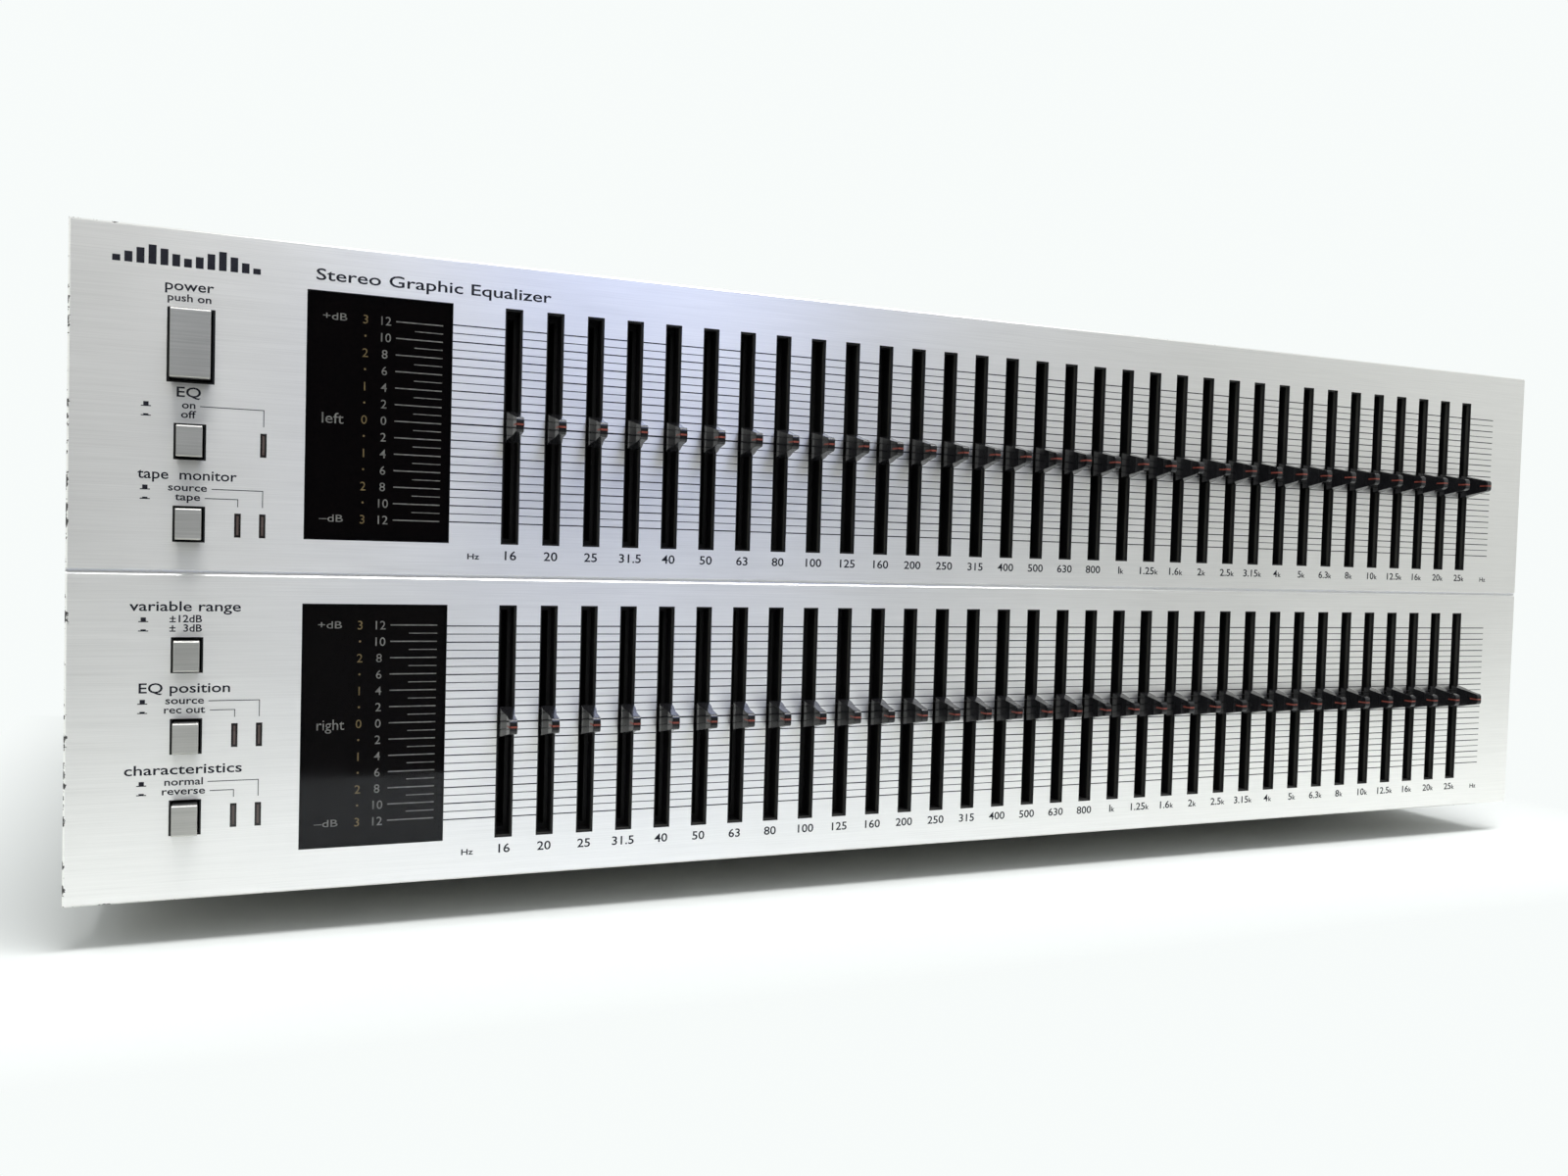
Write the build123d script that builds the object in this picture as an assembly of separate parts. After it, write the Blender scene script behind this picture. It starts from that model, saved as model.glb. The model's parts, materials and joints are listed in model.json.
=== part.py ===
from build123d import *

import os
from itertools import product

# Two-channel graphic equalizer, 33 bands a channel. Millimetres.
# X runs to the right and Y to the back, seen from the front, and Z runs up.
# The origin is under the middle of the overall box, on the surface that the feet stand on.

# ---- driving dimensions -------------------------------------------------------------------
overall_depth = 338.0
panel_w, panel_h, panel_t = 430.0, 143.0, 2.0
panel_lift = 10.0  # bottom edge of the front panel above the floor

bands = (
    "16hz 20hz 25hz 31_5hz 40hz 50hz 63hz 80hz 100hz 125hz 160hz 200hz 250hz 315hz 400hz 500hz 630hz "
    "800hz 1khz 1_25khz 1_6khz 2khz 2_5khz 3_15khz 4khz 5khz 6_3khz 8khz 10khz 12_5khz 16khz 20khz 25khz"
).split()
first_slot_x = 91.2  # from the left edge of the panel
slot_pitch = 9.74
slot_w, slot_h = 4.1, 54.8
bank_heights = (105.6, 36.6)  # left and right channel, above the panel's bottom edge

window_x, window_w, window_t = 61.65, 31.3, 3.0
window_inset, window_gap = 0.1, 0.1
groove_height, groove_w, groove_d = 70.4, 1.2, 0.6
panel_bevel = 0.4

button_x = 23.05
button_rows = {  # height above the panel's bottom edge
    "power_button": 118.6,
    "eq_button": 98.25,
    "tape_monitor_button": 80.75,
    "variable_range_button": 52.75,
    "eq_position_button": 35.25,
    "characteristics_button": 17.75,
}
power_opening, small_opening = (9.3, 15.8), (6.3, 7.7)
power_cap, small_cap = (7.75, 14.4), (5.0, 6.6)
power_proud, small_proud = 4.6, 4.0
cap_bevel = 0.5
plunger_w = 3.0

lens_w, lens_h = 1.3, 5.2
lens_columns = (32.6, 37.55)
lens_gap = 0.05

knob_sections = (  # distance in front of the panel, width, height
    (0.5, 3.2, 7.1),
    (2.5, 3.2, 6.2),
    (6.0, 1.9, 4.6),
    (8.2, 1.9, 3.7),
    (9.7, 1.8, 3.2),
)
lever_w, lever_h = 1.4, 4.0

frame_t, frame_w, frame_h = 3.0, 418.0, 136.0
frame_slot_w, frame_slot_h = 3.4, 54.1
frame_button_gap = 0.3
rim_gap, rim_inset = 0.05, 0.35  # of the rims that line the panel's openings

cover_w, cover_h, cover_t = 424.0, 141.0, 1.0
sheet_t = 1.2  # chassis and rear panel
chassis_lift = panel_lift + 1.0
flange_h = 22.0
vent_w, vent_l, vent_pitch, vents_per_group = 3.0, 46.0, 7.0, 20

foot_r, foot_top_r = 16.0, 19.0
foot_x, foot_front_y, foot_back_y = 165.0, -96.0, 118.0

pot_w, pot_h, pot_d = 8.6, 66.0, 8.0
pot_slot_w, pot_slot_h, pot_floor = 2.0, 52.0, 1.0
board_t = 1.6

socket_r, socket_length = 4.15, 10.0
socket_columns = (-164.0, -144.0, -114.0, -94.0)
socket_rows = (112.0, 93.0)
gland_x, gland_z, gland_bore_r = 150.0, 34.0, 3.5

# ---- places worked out from them ----------------------------------------------------------
face_y = -overall_depth / 2 + knob_sections[-1][0]  # front of the panel
panel_back = face_y + panel_t
frame_back = panel_back + frame_t
pot_front = frame_back + 1.0
pot_back = pot_front + pot_d
switch_front, switch_back = frame_back + 4.5, frame_back + 25.0
rear_y = overall_depth / 2 - socket_length  # outer face of the rear panel
inner_y = rear_y - sheet_t
panel_mid_z = panel_lift + panel_h / 2
floor_z = chassis_lift + sheet_t  # inside of the chassis floor
bank_width = slot_pitch * (len(bands) - 1) + pot_w
bank_mid_x = first_slot_x - panel_w / 2 + slot_pitch * (len(bands) - 1) / 2


def across(x):
    """Model X of a place measured from the left edge of the panel."""
    return x - panel_w / 2


def above(height):
    """Model Z of a place measured from the bottom edge of the panel."""
    return panel_lift + height


def block(x, y, z):
    """A box between two ends on each axis."""
    size = [high - low for low, high in (x, y, z)]
    return Pos(x[0], y[0], z[0]) * Box(*size, align=(Align.MIN, Align.MIN, Align.MIN))


def centred(x, z, width, height, y_from, y_to):
    """A box that lies along Y, centred on a point of the panel."""
    return block((x - width / 2, x + width / 2), (y_from, y_to), (z - height / 2, z + height / 2))


def rod(x, z, radius, y_from, y_to):
    """A cylinder that lies along Y."""
    length = y_to - y_from
    return Pos(x, (y_from + y_to) / 2, z) * Rot(90, 0, 0) * Cylinder(radius, length)


def post(x, y, radius, z_from, z_to):
    """An upright cylinder."""
    return Pos(x, y, (z_from + z_to) / 2) * Cylinder(radius, z_to - z_from)


def slot_xs():
    """Model X of each band's slot."""
    return [across(first_slot_x + slot_pitch * band) for band in range(len(bands))]


def slot_places():
    """The centres of all the slots, the upper bank first."""
    return [(x, above(height)) for height, x in product(bank_heights, slot_xs())]


def lens_places():
    """Each indicator stands beside its button. The on/off indicator has no partner."""
    rows = ["eq_button", "tape_monitor_button", "eq_position_button", "characteristics_button"]
    places = [(x, button_rows[row]) for row, x in product(rows, lens_columns)][1:]
    return [(across(x), above(height)) for x, height in places]


def opening_of(name):
    return power_opening if name == "power_button" else small_opening


def cap_of(name):
    return power_cap if name == "power_button" else small_cap


# ---- front --------------------------------------------------------------------------------
def front_panel():
    """Aluminium plate with a slot for each slider, two scale windows and a groove between the banks."""
    plate = centred(0, panel_mid_z, panel_w, panel_h, face_y, panel_back)
    front_edges = plate.faces().sort_by(Axis.Y)[0].edges()
    plate = chamfer(front_edges, panel_bevel)
    y_span = (face_y - 1, panel_back + 1)
    cuts = [centred(x, z, slot_w, slot_h, *y_span) for x, z in slot_places()]
    cuts += [centred(across(window_x), above(h), window_w, slot_h, *y_span) for h in bank_heights]
    cuts += [centred(x, z, lens_w, lens_h, *y_span) for x, z in lens_places()]
    for name, height in button_rows.items():
        cuts.append(centred(across(button_x), above(height), *opening_of(name), *y_span))
    groove_z = above(groove_height)
    groove = Polyline(
        (face_y, groove_z - groove_w / 2),
        (face_y + groove_d, groove_z),
        (face_y, groove_z + groove_w / 2),
        close=True,
    )
    cuts.append(extrude(Plane.YZ * make_face(groove), panel_w, both=True))
    return plate - cuts


def frame_bosses():
    """Where the boards screw to the frame: at both ends of each slider board and round the switches."""
    board_edge = bank_width / 2 + 3.5
    slider_bosses = [
        (bank_mid_x + side * board_edge, above(height) + rise)
        for side, height, rise in product((-1, 1), bank_heights, (-26.0, 26.0))
    ]
    switch_bosses = [(across(x), above(h)) for x, h in product((12.0, 38.0), (8.0, 134.0))]
    return slider_bosses, switch_bosses


def rims():
    """Thin rims that stand up from the frame and line each slot and button opening of the panel."""
    openings = [(x, z, slot_w, slot_h) for x, z in slot_places()]
    openings += [(across(button_x), above(h), *opening_of(name)) for name, h in button_rows.items()]
    return [
        centred(x, z, width - 2 * rim_gap, tall - 2 * rim_gap, face_y + rim_inset, panel_back)
        for x, z, width, tall in openings
    ]


def front_frame():
    """Moulded black frame behind the panel, with pockets for the scale windows and posts for the boards."""
    plate = centred(0, panel_mid_z, frame_w, frame_h, panel_back, frame_back) + rims()
    y_span = (face_y - 1, frame_back + 1)
    cuts = [centred(x, z, frame_slot_w, frame_slot_h, *y_span) for x, z in slot_places()]
    pocket_end = face_y + window_inset + window_t
    for height in bank_heights:
        cuts.append(centred(across(window_x), above(height), window_w, slot_h, face_y, pocket_end))
    cuts += [centred(x, z, lens_w, lens_h, *y_span) for x, z in lens_places()]
    for name, height in button_rows.items():
        width, tall = (size + 2 * frame_button_gap for size in cap_of(name))
        cuts.append(centred(across(button_x), above(height), width, tall, *y_span))
    slider_bosses, switch_bosses = frame_bosses()
    posts = [rod(x, z, 2.5, frame_back, pot_back) for x, z in slider_bosses]
    posts += [rod(x, z, 3.0, frame_back, switch_back) for x, z in switch_bosses]
    return (plate - cuts) + posts


def scale_window(height):
    """Clear plate that lies in the panel's opening and rests on the frame's pocket."""
    width, tall = window_w - 2 * window_gap, slot_h - 2 * window_gap
    front = face_y + window_inset
    return centred(across(window_x), above(height), width, tall, front, front + window_t)


def indicator_lenses():
    """Light guides that run from the panel's face to the switch board's lamps."""
    width, tall = lens_w - 2 * lens_gap, lens_h - 2 * lens_gap
    return [centred(x, z, width, tall, face_y + lens_gap, frame_back + 4) for x, z in lens_places()]


# ---- moving pieces ------------------------------------------------------------------------
def slider(x, z):
    """One knob on its lever: a straight base, a taper and a nose, ruled through the knob's sections."""
    sections = [
        Plane(origin=(x, face_y - ahead, z), x_dir=(1, 0, 0), z_dir=(0, -1, 0)) * Rectangle(width, tall)
        for ahead, width, tall in knob_sections
    ]
    root = face_y - knob_sections[0][0]
    lever = centred(x, z, lever_w, lever_h, root, pot_back - pot_floor - 1.0)
    return loft(sections, ruled=True) + lever


def slider_pair(x):
    """The left and right channel's sliders of one band."""
    return [slider(x, above(height)) for height in bank_heights]


def button(name):
    """A push button's cap with the plunger that works its switch."""
    x, z = across(button_x), above(button_rows[name])
    proud = power_proud if name == "power_button" else small_proud
    cap = centred(x, z, *cap_of(name), face_y - proud, frame_back)
    cap = chamfer(cap.faces().sort_by(Axis.Y)[0].edges(), cap_bevel)
    return cap + centred(x, z, plunger_w, plunger_w, frame_back, switch_front + 9.0)


# ---- controls inside ----------------------------------------------------------------------
def slide_pots(height):
    """One bank of slide potentiometers, each open at the front for its lever."""
    pots = []
    for x in slot_xs():
        case = centred(x, above(height), pot_w, pot_h, pot_front, pot_back)
        way = centred(x, above(height), pot_slot_w, pot_slot_h, pot_front - 1, pot_back - pot_floor)
        pots.append(case - way)
    return pots


def slider_boards():
    """A circuit board behind each bank of potentiometers, held on the frame's posts."""
    width = bank_width + 14.0
    return [
        centred(bank_mid_x, above(height), width, pot_h, pot_back, pot_back + board_t)
        for height in bank_heights
    ]


def push_switches():
    """Push switches with a square way for each plunger, soldered to the switch board."""
    bodies = []
    for name, height in button_rows.items():
        x, z = across(button_x), above(height)
        width, tall = (15.0, 17.0) if name == "power_button" else (9.0, 10.0)
        body = centred(x, z, width, tall, switch_front, switch_back)
        way = plunger_w + 0.5
        bodies.append(body - centred(x, z, way, way, switch_front - 1, switch_front + 13.0))
    return bodies


def switch_board():
    return centred(across(25.0), panel_mid_z, 34.0, 132.0, switch_back, switch_back + board_t)


# ---- case ---------------------------------------------------------------------------------
cover_top = panel_lift + (panel_h + cover_h) / 2
cover_bottom = panel_lift + (panel_h - cover_h) / 2
cover_front = panel_back + 0.2
side_screw_ys, side_screw_z = (-120.0, 110.0), chassis_lift + 14.0
rear_screw_xs = (-190.0, 0.0, 190.0)
screw_r, screw_hole_r, screw_head_r, screw_head_t = 1.5, 1.6, 4.0, 2.0


def side_hole(side, y):
    """The way of a screw through a side wall."""
    x = side * cover_w / 2
    return Pos(x, y, side_screw_z) * Rot(0, 90, 0) * Cylinder(screw_hole_r, 12)


def top_cover():
    """Bent steel cover: the top and both sides, with two groups of cooling slots and a rear lip."""
    outer = block((-cover_w / 2, cover_w / 2), (cover_front, rear_y), (cover_bottom, cover_top))
    upright_edges = outer.edges().filter_by(Axis.Y).sort_by(Axis.Z)[-2:]
    outer = fillet(upright_edges, 2.0)
    inside = cover_w / 2 - cover_t
    room = block((-inside, inside), (cover_front - 1, rear_y + 1), (cover_bottom - 1, cover_top - cover_t))
    vents = []
    for group_x, number in product((-115.0, 95.0), range(vents_per_group)):
        x = group_x + vent_pitch * (number - (vents_per_group - 1) / 2)
        vent = Pos(x, 70, cover_top) * Box(vent_w, vent_l, 6)
        vents.append(vent)
    holes = [side_hole(side, y) for side, y in product((-1, 1), side_screw_ys)]
    lip = block((-200, 200), (inner_y - cover_t, inner_y), (cover_top - cover_t - 12, cover_top - cover_t))
    lip_holes = [rod(x, cover_top - 7, screw_hole_r, inner_y - 3, inner_y + 3) for x in rear_screw_xs]
    return outer - room - vents - holes + (lip - lip_holes)


def base_chassis():
    """Steel tray with turned-up sides and front, and posts for the main board."""
    half = cover_w / 2 - cover_t - 0.2
    front, back = frame_back + 0.2, inner_y
    tray = block((-half, half), (front, back), (chassis_lift, floor_z))
    for side in (-1, 1):
        inner, outer = side * (half - sheet_t), side * half
        wall_x = (min(inner, outer), max(inner, outer))
        tray += block(wall_x, (front, back), (chassis_lift, chassis_lift + flange_h))
    tray -= [side_hole(side, y) for side, y in product((-1, 1), side_screw_ys)]
    posts = [post(x, y, 3.5, floor_z, floor_z + 8) for x, y in board_posts()]
    slots = [
        Pos(x, 70, chassis_lift) * Box(4, 60, 6) for x in (40.0, 55.0, 70.0, 85.0, 100.0, 115.0, 130.0)
    ]
    foot_holes = [post(x, y, screw_hole_r, chassis_lift - 1, floor_z + 1) for x, y in foot_places()]
    return tray - slots - foot_holes + posts


def rear_panel():
    """Steel plate with ways for the phono sockets, the mains cord's gland and the cover's screws."""
    half = cover_w / 2 - cover_t - 0.2
    plate = block((-half, half), (inner_y, rear_y), (chassis_lift, cover_top - cover_t - 0.2))
    cuts = [rod(x, z, socket_r + 0.3, inner_y - 1, rear_y + 1) for x, z in socket_places()]
    cuts.append(rod(gland_x, gland_z, 6.1, inner_y - 1, rear_y + 1))
    cuts += [rod(x, cover_top - 7, screw_hole_r, inner_y - 1, rear_y + 1) for x in rear_screw_xs]
    return plate - cuts


def foot_places():
    return list(product((-foot_x, foot_x), (foot_front_y, foot_back_y)))


def feet():
    """Four moulded feet, each with a sunk way for its screw."""
    made = []
    for x, y in foot_places():
        body = Pos(x, y, chassis_lift / 2) * Cone(foot_r, foot_top_r, chassis_lift)
        body -= post(x, y, screw_head_r + 0.5, -1, chassis_lift - 4)
        made.append(body - post(x, y, screw_hole_r, -1, chassis_lift + 1))
    return made


def screw(length):
    """A pan-head screw that points down, its seat at the origin and its head above."""
    head = Pos(0, 0, screw_head_t / 2) * Cylinder(screw_head_r, screw_head_t)
    head = fillet(head.edges().sort_by(Axis.Z)[-1], 0.8)
    slot = Pos(0, 0, screw_head_t) * Box(5.0, 0.9, 1.4)
    cross = Pos(0, 0, screw_head_t) * Box(0.9, 5.0, 1.4)
    shank = Pos(0, 0, -length / 2) * Cylinder(screw_r, length)
    return head + shank - [slot, cross]


def screws():
    """Side and rear screws of the cover, and those of the feet and the board."""
    made = []
    for side, y in product((-1, 1), side_screw_ys):
        made.append(Pos(side * cover_w / 2, y, side_screw_z) * Rot(0, side * 90, 0) * screw(5))
    made += [Pos(x, rear_y, cover_top - 7) * Rot(-90, 0, 0) * screw(5) for x in rear_screw_xs]
    made += [Pos(x, y, chassis_lift - 4) * Rot(180, 0, 0) * screw(7) for x, y in foot_places()]
    return made


# ---- rear and inside ----------------------------------------------------------------------
board_z = floor_z + 8.0
board_x, board_y, board_size = (-60.0, 190.0), (-90.0, 130.0), (250.0, 220.0)
transformer_x, transformer_y = -150.0, 40.0
core_w, core_d, core_h = 66.0, 36.0, 55.0
limb_w, core_window_w, core_window_h = 22.0, 11.0, 33.0


def socket_places():
    return list(product(socket_columns, socket_rows))


def board_posts():
    inset = 8.0
    xs = (board_x[0] + inset, sum(board_x) / 2, board_x[1] - inset)
    return list(product(xs, (board_y[0] + inset, board_y[1] - inset)))


def phono_sockets():
    """Eight phono sockets: a barrel round a bored core, a collar outside and a block inside."""
    made = []
    for x, z in socket_places():
        socket = rod(x, z, socket_r, inner_y - 2, rear_y + socket_length)
        socket += rod(x, z, 6.5, rear_y, rear_y + 1.0)
        socket += centred(x, z, 14.0, 14.0, inner_y - 12, inner_y)
        made.append(socket - rod(x, z, 1.6, rear_y - 4, rear_y + socket_length + 1))
    return made


def mains_cord_gland():
    """Moulded bush with a flange on each side of the rear panel and a bore for the cord."""
    bush = rod(gland_x, gland_z, 6.0, inner_y - 3, rear_y + 4)
    bush += rod(gland_x, gland_z, 9.0, rear_y, rear_y + 3)
    bush += rod(gland_x, gland_z, 8.0, inner_y - 3, inner_y)
    return bush - rod(gland_x, gland_z, gland_bore_r, inner_y - 4, rear_y + 5)


def transformer():
    """Laminated core with two windows, and the winding round its middle limb."""
    z_mid = floor_z + core_h / 2
    core = Pos(transformer_x, transformer_y, z_mid) * Box(core_w, core_d, core_h)
    shift = (limb_w + core_window_w) / 2
    for side in (-1, 1):
        window = Box(core_window_w, core_d + 2, core_window_h)
        core -= Pos(transformer_x + side * shift, transformer_y, z_mid) * window
    winding_w = limb_w + 2 * core_window_w - 1
    coil = Box(winding_w, core_d + 2 * core_window_w, core_window_h - 1) - Box(limb_w + 0.6, core_d + 0.6, core_h)
    return core, Pos(transformer_x, transformer_y, z_mid) * coil


def main_board():
    return block(board_x, board_y, (board_z, board_z + board_t))


def board_components():
    """Filter circuits in rows, the supply's capacitors and the regulators' heat sink."""
    top = board_z + board_t
    made = []
    for column, row in product(range(11), range(3)):
        x, y = board_x[0] + 18 + 21 * column, board_y[0] + 30 + 32 * row
        made.append(block((x, x + 7), (y, y + 19), (top, top + 4)))
    for column, row in product(range(3), range(2)):
        made.append(post(board_x[0] + 30 + 30 * column, board_y[1] - 28 - 28 * row, 9, top, top + 34))
    sink_x, sink_y = board_x[1] - 90, board_y[1] - 40
    sink = block((sink_x, sink_x + 70), (sink_y, sink_y + 3), (top, top + 36))
    for fin in range(8):
        x = sink_x + 9.4 * fin
        sink += block((x, x + 2), (sink_y, sink_y + 18), (top, top + 36))
    made.append(sink)
    return made


# ---- write the sub-parts ------------------------------------------------------------------
def solids_of(shape):
    """The separate solids of a part or of a list of parts."""
    return [solid for item in (shape if isinstance(shape, list) else [shape]) for solid in item.solids()]


def write(name, shape):
    solids = solids_of(shape)
    export_step(solids[0] if len(solids) == 1 else Compound(children=solids), f"parts/{name}.step")


def main():
    os.makedirs("parts", exist_ok=True)
    core, coil = transformer()
    nodes = {
        "front_panel": front_panel(),
        "front_frame": front_frame(),
        "scale_window_left": scale_window(bank_heights[0]),
        "scale_window_right": scale_window(bank_heights[1]),
        "indicator_lenses": indicator_lenses(),
        "slide_pots_left": slide_pots(bank_heights[0]),
        "slide_pots_right": slide_pots(bank_heights[1]),
        "slider_boards": slider_boards(),
        "push_switches": push_switches(),
        "switch_board": switch_board(),
        "top_cover": top_cover(),
        "base_chassis": base_chassis(),
        "rear_panel": rear_panel(),
        "feet": feet(),
        "screws": screws(),
        "phono_sockets": phono_sockets(),
        "mains_cord_gland": mains_cord_gland(),
        "transformer_core": core,
        "transformer_coil": coil,
        "main_board": main_board(),
        "board_components": board_components(),
    }
    nodes |= {name: button(name) for name in button_rows}
    nodes |= {f"slider_{band}": slider_pair(x) for band, x in zip(bands, slot_xs())}
    for name, shape in nodes.items():
        write(name, shape)


if __name__ == "__main__":
    main()
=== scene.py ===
"""Looks of a two-channel graphic equalizer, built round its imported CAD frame.

Lengths in the classes are in millimetres and are turned into metres where a shape is made. X runs to the
right and Y to the back, seen from the front, and Z runs up.
"""

import json
import logging
import math
from dataclasses import dataclass, field
from enum import Enum
from typing import Any, Callable, Optional, Sequence

import bpy
from mathutils import Matrix, Vector


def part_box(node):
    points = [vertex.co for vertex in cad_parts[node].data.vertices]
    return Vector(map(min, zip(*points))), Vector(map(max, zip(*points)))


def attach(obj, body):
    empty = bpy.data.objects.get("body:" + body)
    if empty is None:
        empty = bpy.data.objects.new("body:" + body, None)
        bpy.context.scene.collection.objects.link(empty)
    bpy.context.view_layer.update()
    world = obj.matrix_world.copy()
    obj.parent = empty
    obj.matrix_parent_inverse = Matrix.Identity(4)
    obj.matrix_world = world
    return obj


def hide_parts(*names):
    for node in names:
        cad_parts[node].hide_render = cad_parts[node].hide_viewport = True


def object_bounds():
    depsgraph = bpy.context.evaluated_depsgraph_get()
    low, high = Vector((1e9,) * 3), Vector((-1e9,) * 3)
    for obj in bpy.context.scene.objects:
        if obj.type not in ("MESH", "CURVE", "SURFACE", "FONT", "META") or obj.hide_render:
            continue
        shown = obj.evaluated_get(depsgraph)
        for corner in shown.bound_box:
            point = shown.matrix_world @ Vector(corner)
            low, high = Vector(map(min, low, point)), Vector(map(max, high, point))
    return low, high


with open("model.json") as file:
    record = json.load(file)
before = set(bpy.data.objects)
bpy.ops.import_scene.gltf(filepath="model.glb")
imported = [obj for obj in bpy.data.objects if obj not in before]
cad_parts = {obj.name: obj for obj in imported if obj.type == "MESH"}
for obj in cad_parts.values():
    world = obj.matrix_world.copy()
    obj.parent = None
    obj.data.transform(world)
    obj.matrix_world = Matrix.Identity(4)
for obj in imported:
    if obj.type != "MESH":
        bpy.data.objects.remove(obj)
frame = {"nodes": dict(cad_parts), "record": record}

LOG = logging.getLogger("equalizer")
MM = 0.001
CAD_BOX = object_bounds()
Colour = tuple[float, float, float]
Triple = tuple[float, float, float]
Span = tuple[float, float]

# Most of a noise's values lie in this range, which finishes map to their own.
NOISE = (0.3, 0.7)
# How far in front of its face a print's film has its middle, in millimetres.
PRINT_PROUD = 0.012


# ---- modelling ----------------------------------------------------------------------------
class Along(Enum):
    """The row axis that a round piece lies along, as the turn that a primitive made along Z needs."""

    X = (0.0, math.pi / 2, 0.0)
    Y = (-math.pi / 2, 0.0, 0.0)
    Z = (0.0, 0.0, 0.0)


class Bench:
    """Shapes primitives in edit mode and finishes them with modifiers."""

    @staticmethod
    def clear() -> None:
        """Deselect everything, so that the next operator works on one piece alone."""
        bpy.ops.object.select_all(action="DESELECT")

    @staticmethod
    def take(piece: bpy.types.Object) -> bpy.types.Object:
        """Make a piece the only one selected, and the active one."""
        Bench.clear()
        piece.select_set(True)
        bpy.context.view_layer.objects.active = piece
        return piece

    @staticmethod
    def settle(name: str) -> bpy.types.Object:
        """Name the active piece and put its place in its mesh."""
        piece = bpy.context.object
        piece.name = piece.data.name = name
        bpy.ops.object.transform_apply(location=True, rotation=True, scale=True)
        return piece

    @staticmethod
    def block(name: str, low: Sequence[float], high: Sequence[float]) -> bpy.types.Object:
        """Add a cube between two corners.

        Args:
            name: The new piece's name.
            low: Its lowest corner, in metres.
            high: Its highest corner, in metres.

        Returns:
            The piece, with its object at the origin.
        """
        low, high = Vector(low), Vector(high)
        Bench.clear()
        bpy.ops.mesh.primitive_cube_add(size=1.0, location=(low + high) / 2)
        bpy.context.object.scale = high - low
        return Bench.settle(name)

    @staticmethod
    def drum(name: str, middle: Sequence[float], radius: float, length: float, along: Along,
             sides: int = 40) -> bpy.types.Object:
        """Add a cylinder.

        Args:
            name: The new piece's name.
            middle: Its middle, in metres.
            radius: Its radius, in metres.
            length: Its length, in metres.
            along: The axis that it lies along.
            sides: How many sides stand for its round wall.

        Returns:
            The piece, with its object at the origin.
        """
        Bench.clear()
        bpy.ops.mesh.primitive_cylinder_add(
            vertices=sides, radius=radius, depth=length, location=middle, rotation=along.value
        )
        return Bench.settle(name)

    @staticmethod
    def pick_faces(piece: bpy.types.Object, wanted: Callable[[Vector, Vector], bool]) -> None:
        """Open a piece in edit mode with only some faces selected.

        Args:
            piece: The piece to open.
            wanted: Says from a face's middle and normal whether it is selected.
        """
        Bench.take(piece)
        bpy.ops.object.mode_set(mode="EDIT")
        bpy.ops.mesh.select_mode(type="FACE")
        bpy.ops.mesh.select_all(action="DESELECT")
        bpy.ops.object.mode_set(mode="OBJECT")
        for face in piece.data.polygons:
            face.select = wanted(face.center, face.normal)
        bpy.ops.object.mode_set(mode="EDIT")

    @staticmethod
    def pick_edges(piece: bpy.types.Object, wanted: Callable[[Vector, Vector], bool]) -> None:
        """Open a piece in edit mode with only some edges selected.

        Args:
            piece: The piece to open.
            wanted: Says from an edge's two ends whether it is selected.
        """
        Bench.take(piece)
        bpy.ops.object.mode_set(mode="EDIT")
        bpy.ops.mesh.select_mode(type="EDGE")
        bpy.ops.mesh.select_all(action="DESELECT")
        bpy.ops.object.mode_set(mode="OBJECT")
        corners = piece.data.vertices
        for edge in piece.data.edges:
            edge.select = wanted(*(corners[number].co for number in edge.vertices))
        bpy.ops.object.mode_set(mode="EDIT")

    @staticmethod
    def close() -> None:
        """Leave edit mode."""
        bpy.ops.object.mode_set(mode="OBJECT")

    @staticmethod
    def draw_out(move: Sequence[float]) -> None:
        """Extrude what is selected in edit mode by a move in metres."""
        bpy.ops.mesh.extrude_region_move(TRANSFORM_OT_translate={"value": tuple(move)})

    @staticmethod
    def finish(piece: bpy.types.Object, kind: str, **settings: Any) -> bpy.types.Object:
        """Add a modifier to a piece and apply it.

        Args:
            piece: The piece to work on.
            kind: The modifier's type.
            **settings: The modifier's own settings.

        Returns:
            The same piece.
        """
        Bench.take(piece)
        modifier = piece.modifiers.new(kind.title(), kind)
        for name, value in settings.items():
            setattr(modifier, name, value)
        bpy.ops.object.modifier_apply(modifier=modifier.name)
        return piece

    @staticmethod
    def soften(piece: bpy.types.Object, width: float, segments: int = 2) -> bpy.types.Object:
        """Round a piece's sharp edges by a width in millimetres and smooth its shading."""
        Bench.finish(piece, "BEVEL", width=width * MM, segments=segments, limit_method="ANGLE",
                     angle_limit=math.radians(35), harden_normals=False)
        Bench.take(piece)
        bpy.ops.object.shade_smooth_by_angle(angle=math.radians(32))
        return Bench.flatten(piece)

    @staticmethod
    def flatten(piece: bpy.types.Object) -> bpy.types.Object:
        """Keep the shading of large faces flat between their rounded edges."""
        return Bench.finish(piece, "WEIGHTED_NORMAL", keep_sharp=True, weight=100)

    @staticmethod
    def repeat(piece: bpy.types.Object, count: int, step: Sequence[float]) -> bpy.types.Object:
        """Repeat a piece in a row, by a step in metres."""
        if count == 1:
            return piece
        return Bench.finish(piece, "ARRAY", count=count, use_relative_offset=False,
                            use_constant_offset=True, constant_offset_displace=tuple(step))

    @staticmethod
    def copy(piece: bpy.types.Object, name: str, move: Sequence[float] = (0, 0, 0)) -> bpy.types.Object:
        """Copy a piece with its own mesh, moved by a step in metres."""
        twin = piece.copy()
        twin.data = piece.data.copy()
        twin.name = twin.data.name = name
        twin.data.transform(Matrix.Translation(Vector(move)))
        bpy.context.scene.collection.objects.link(twin)
        return twin

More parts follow.
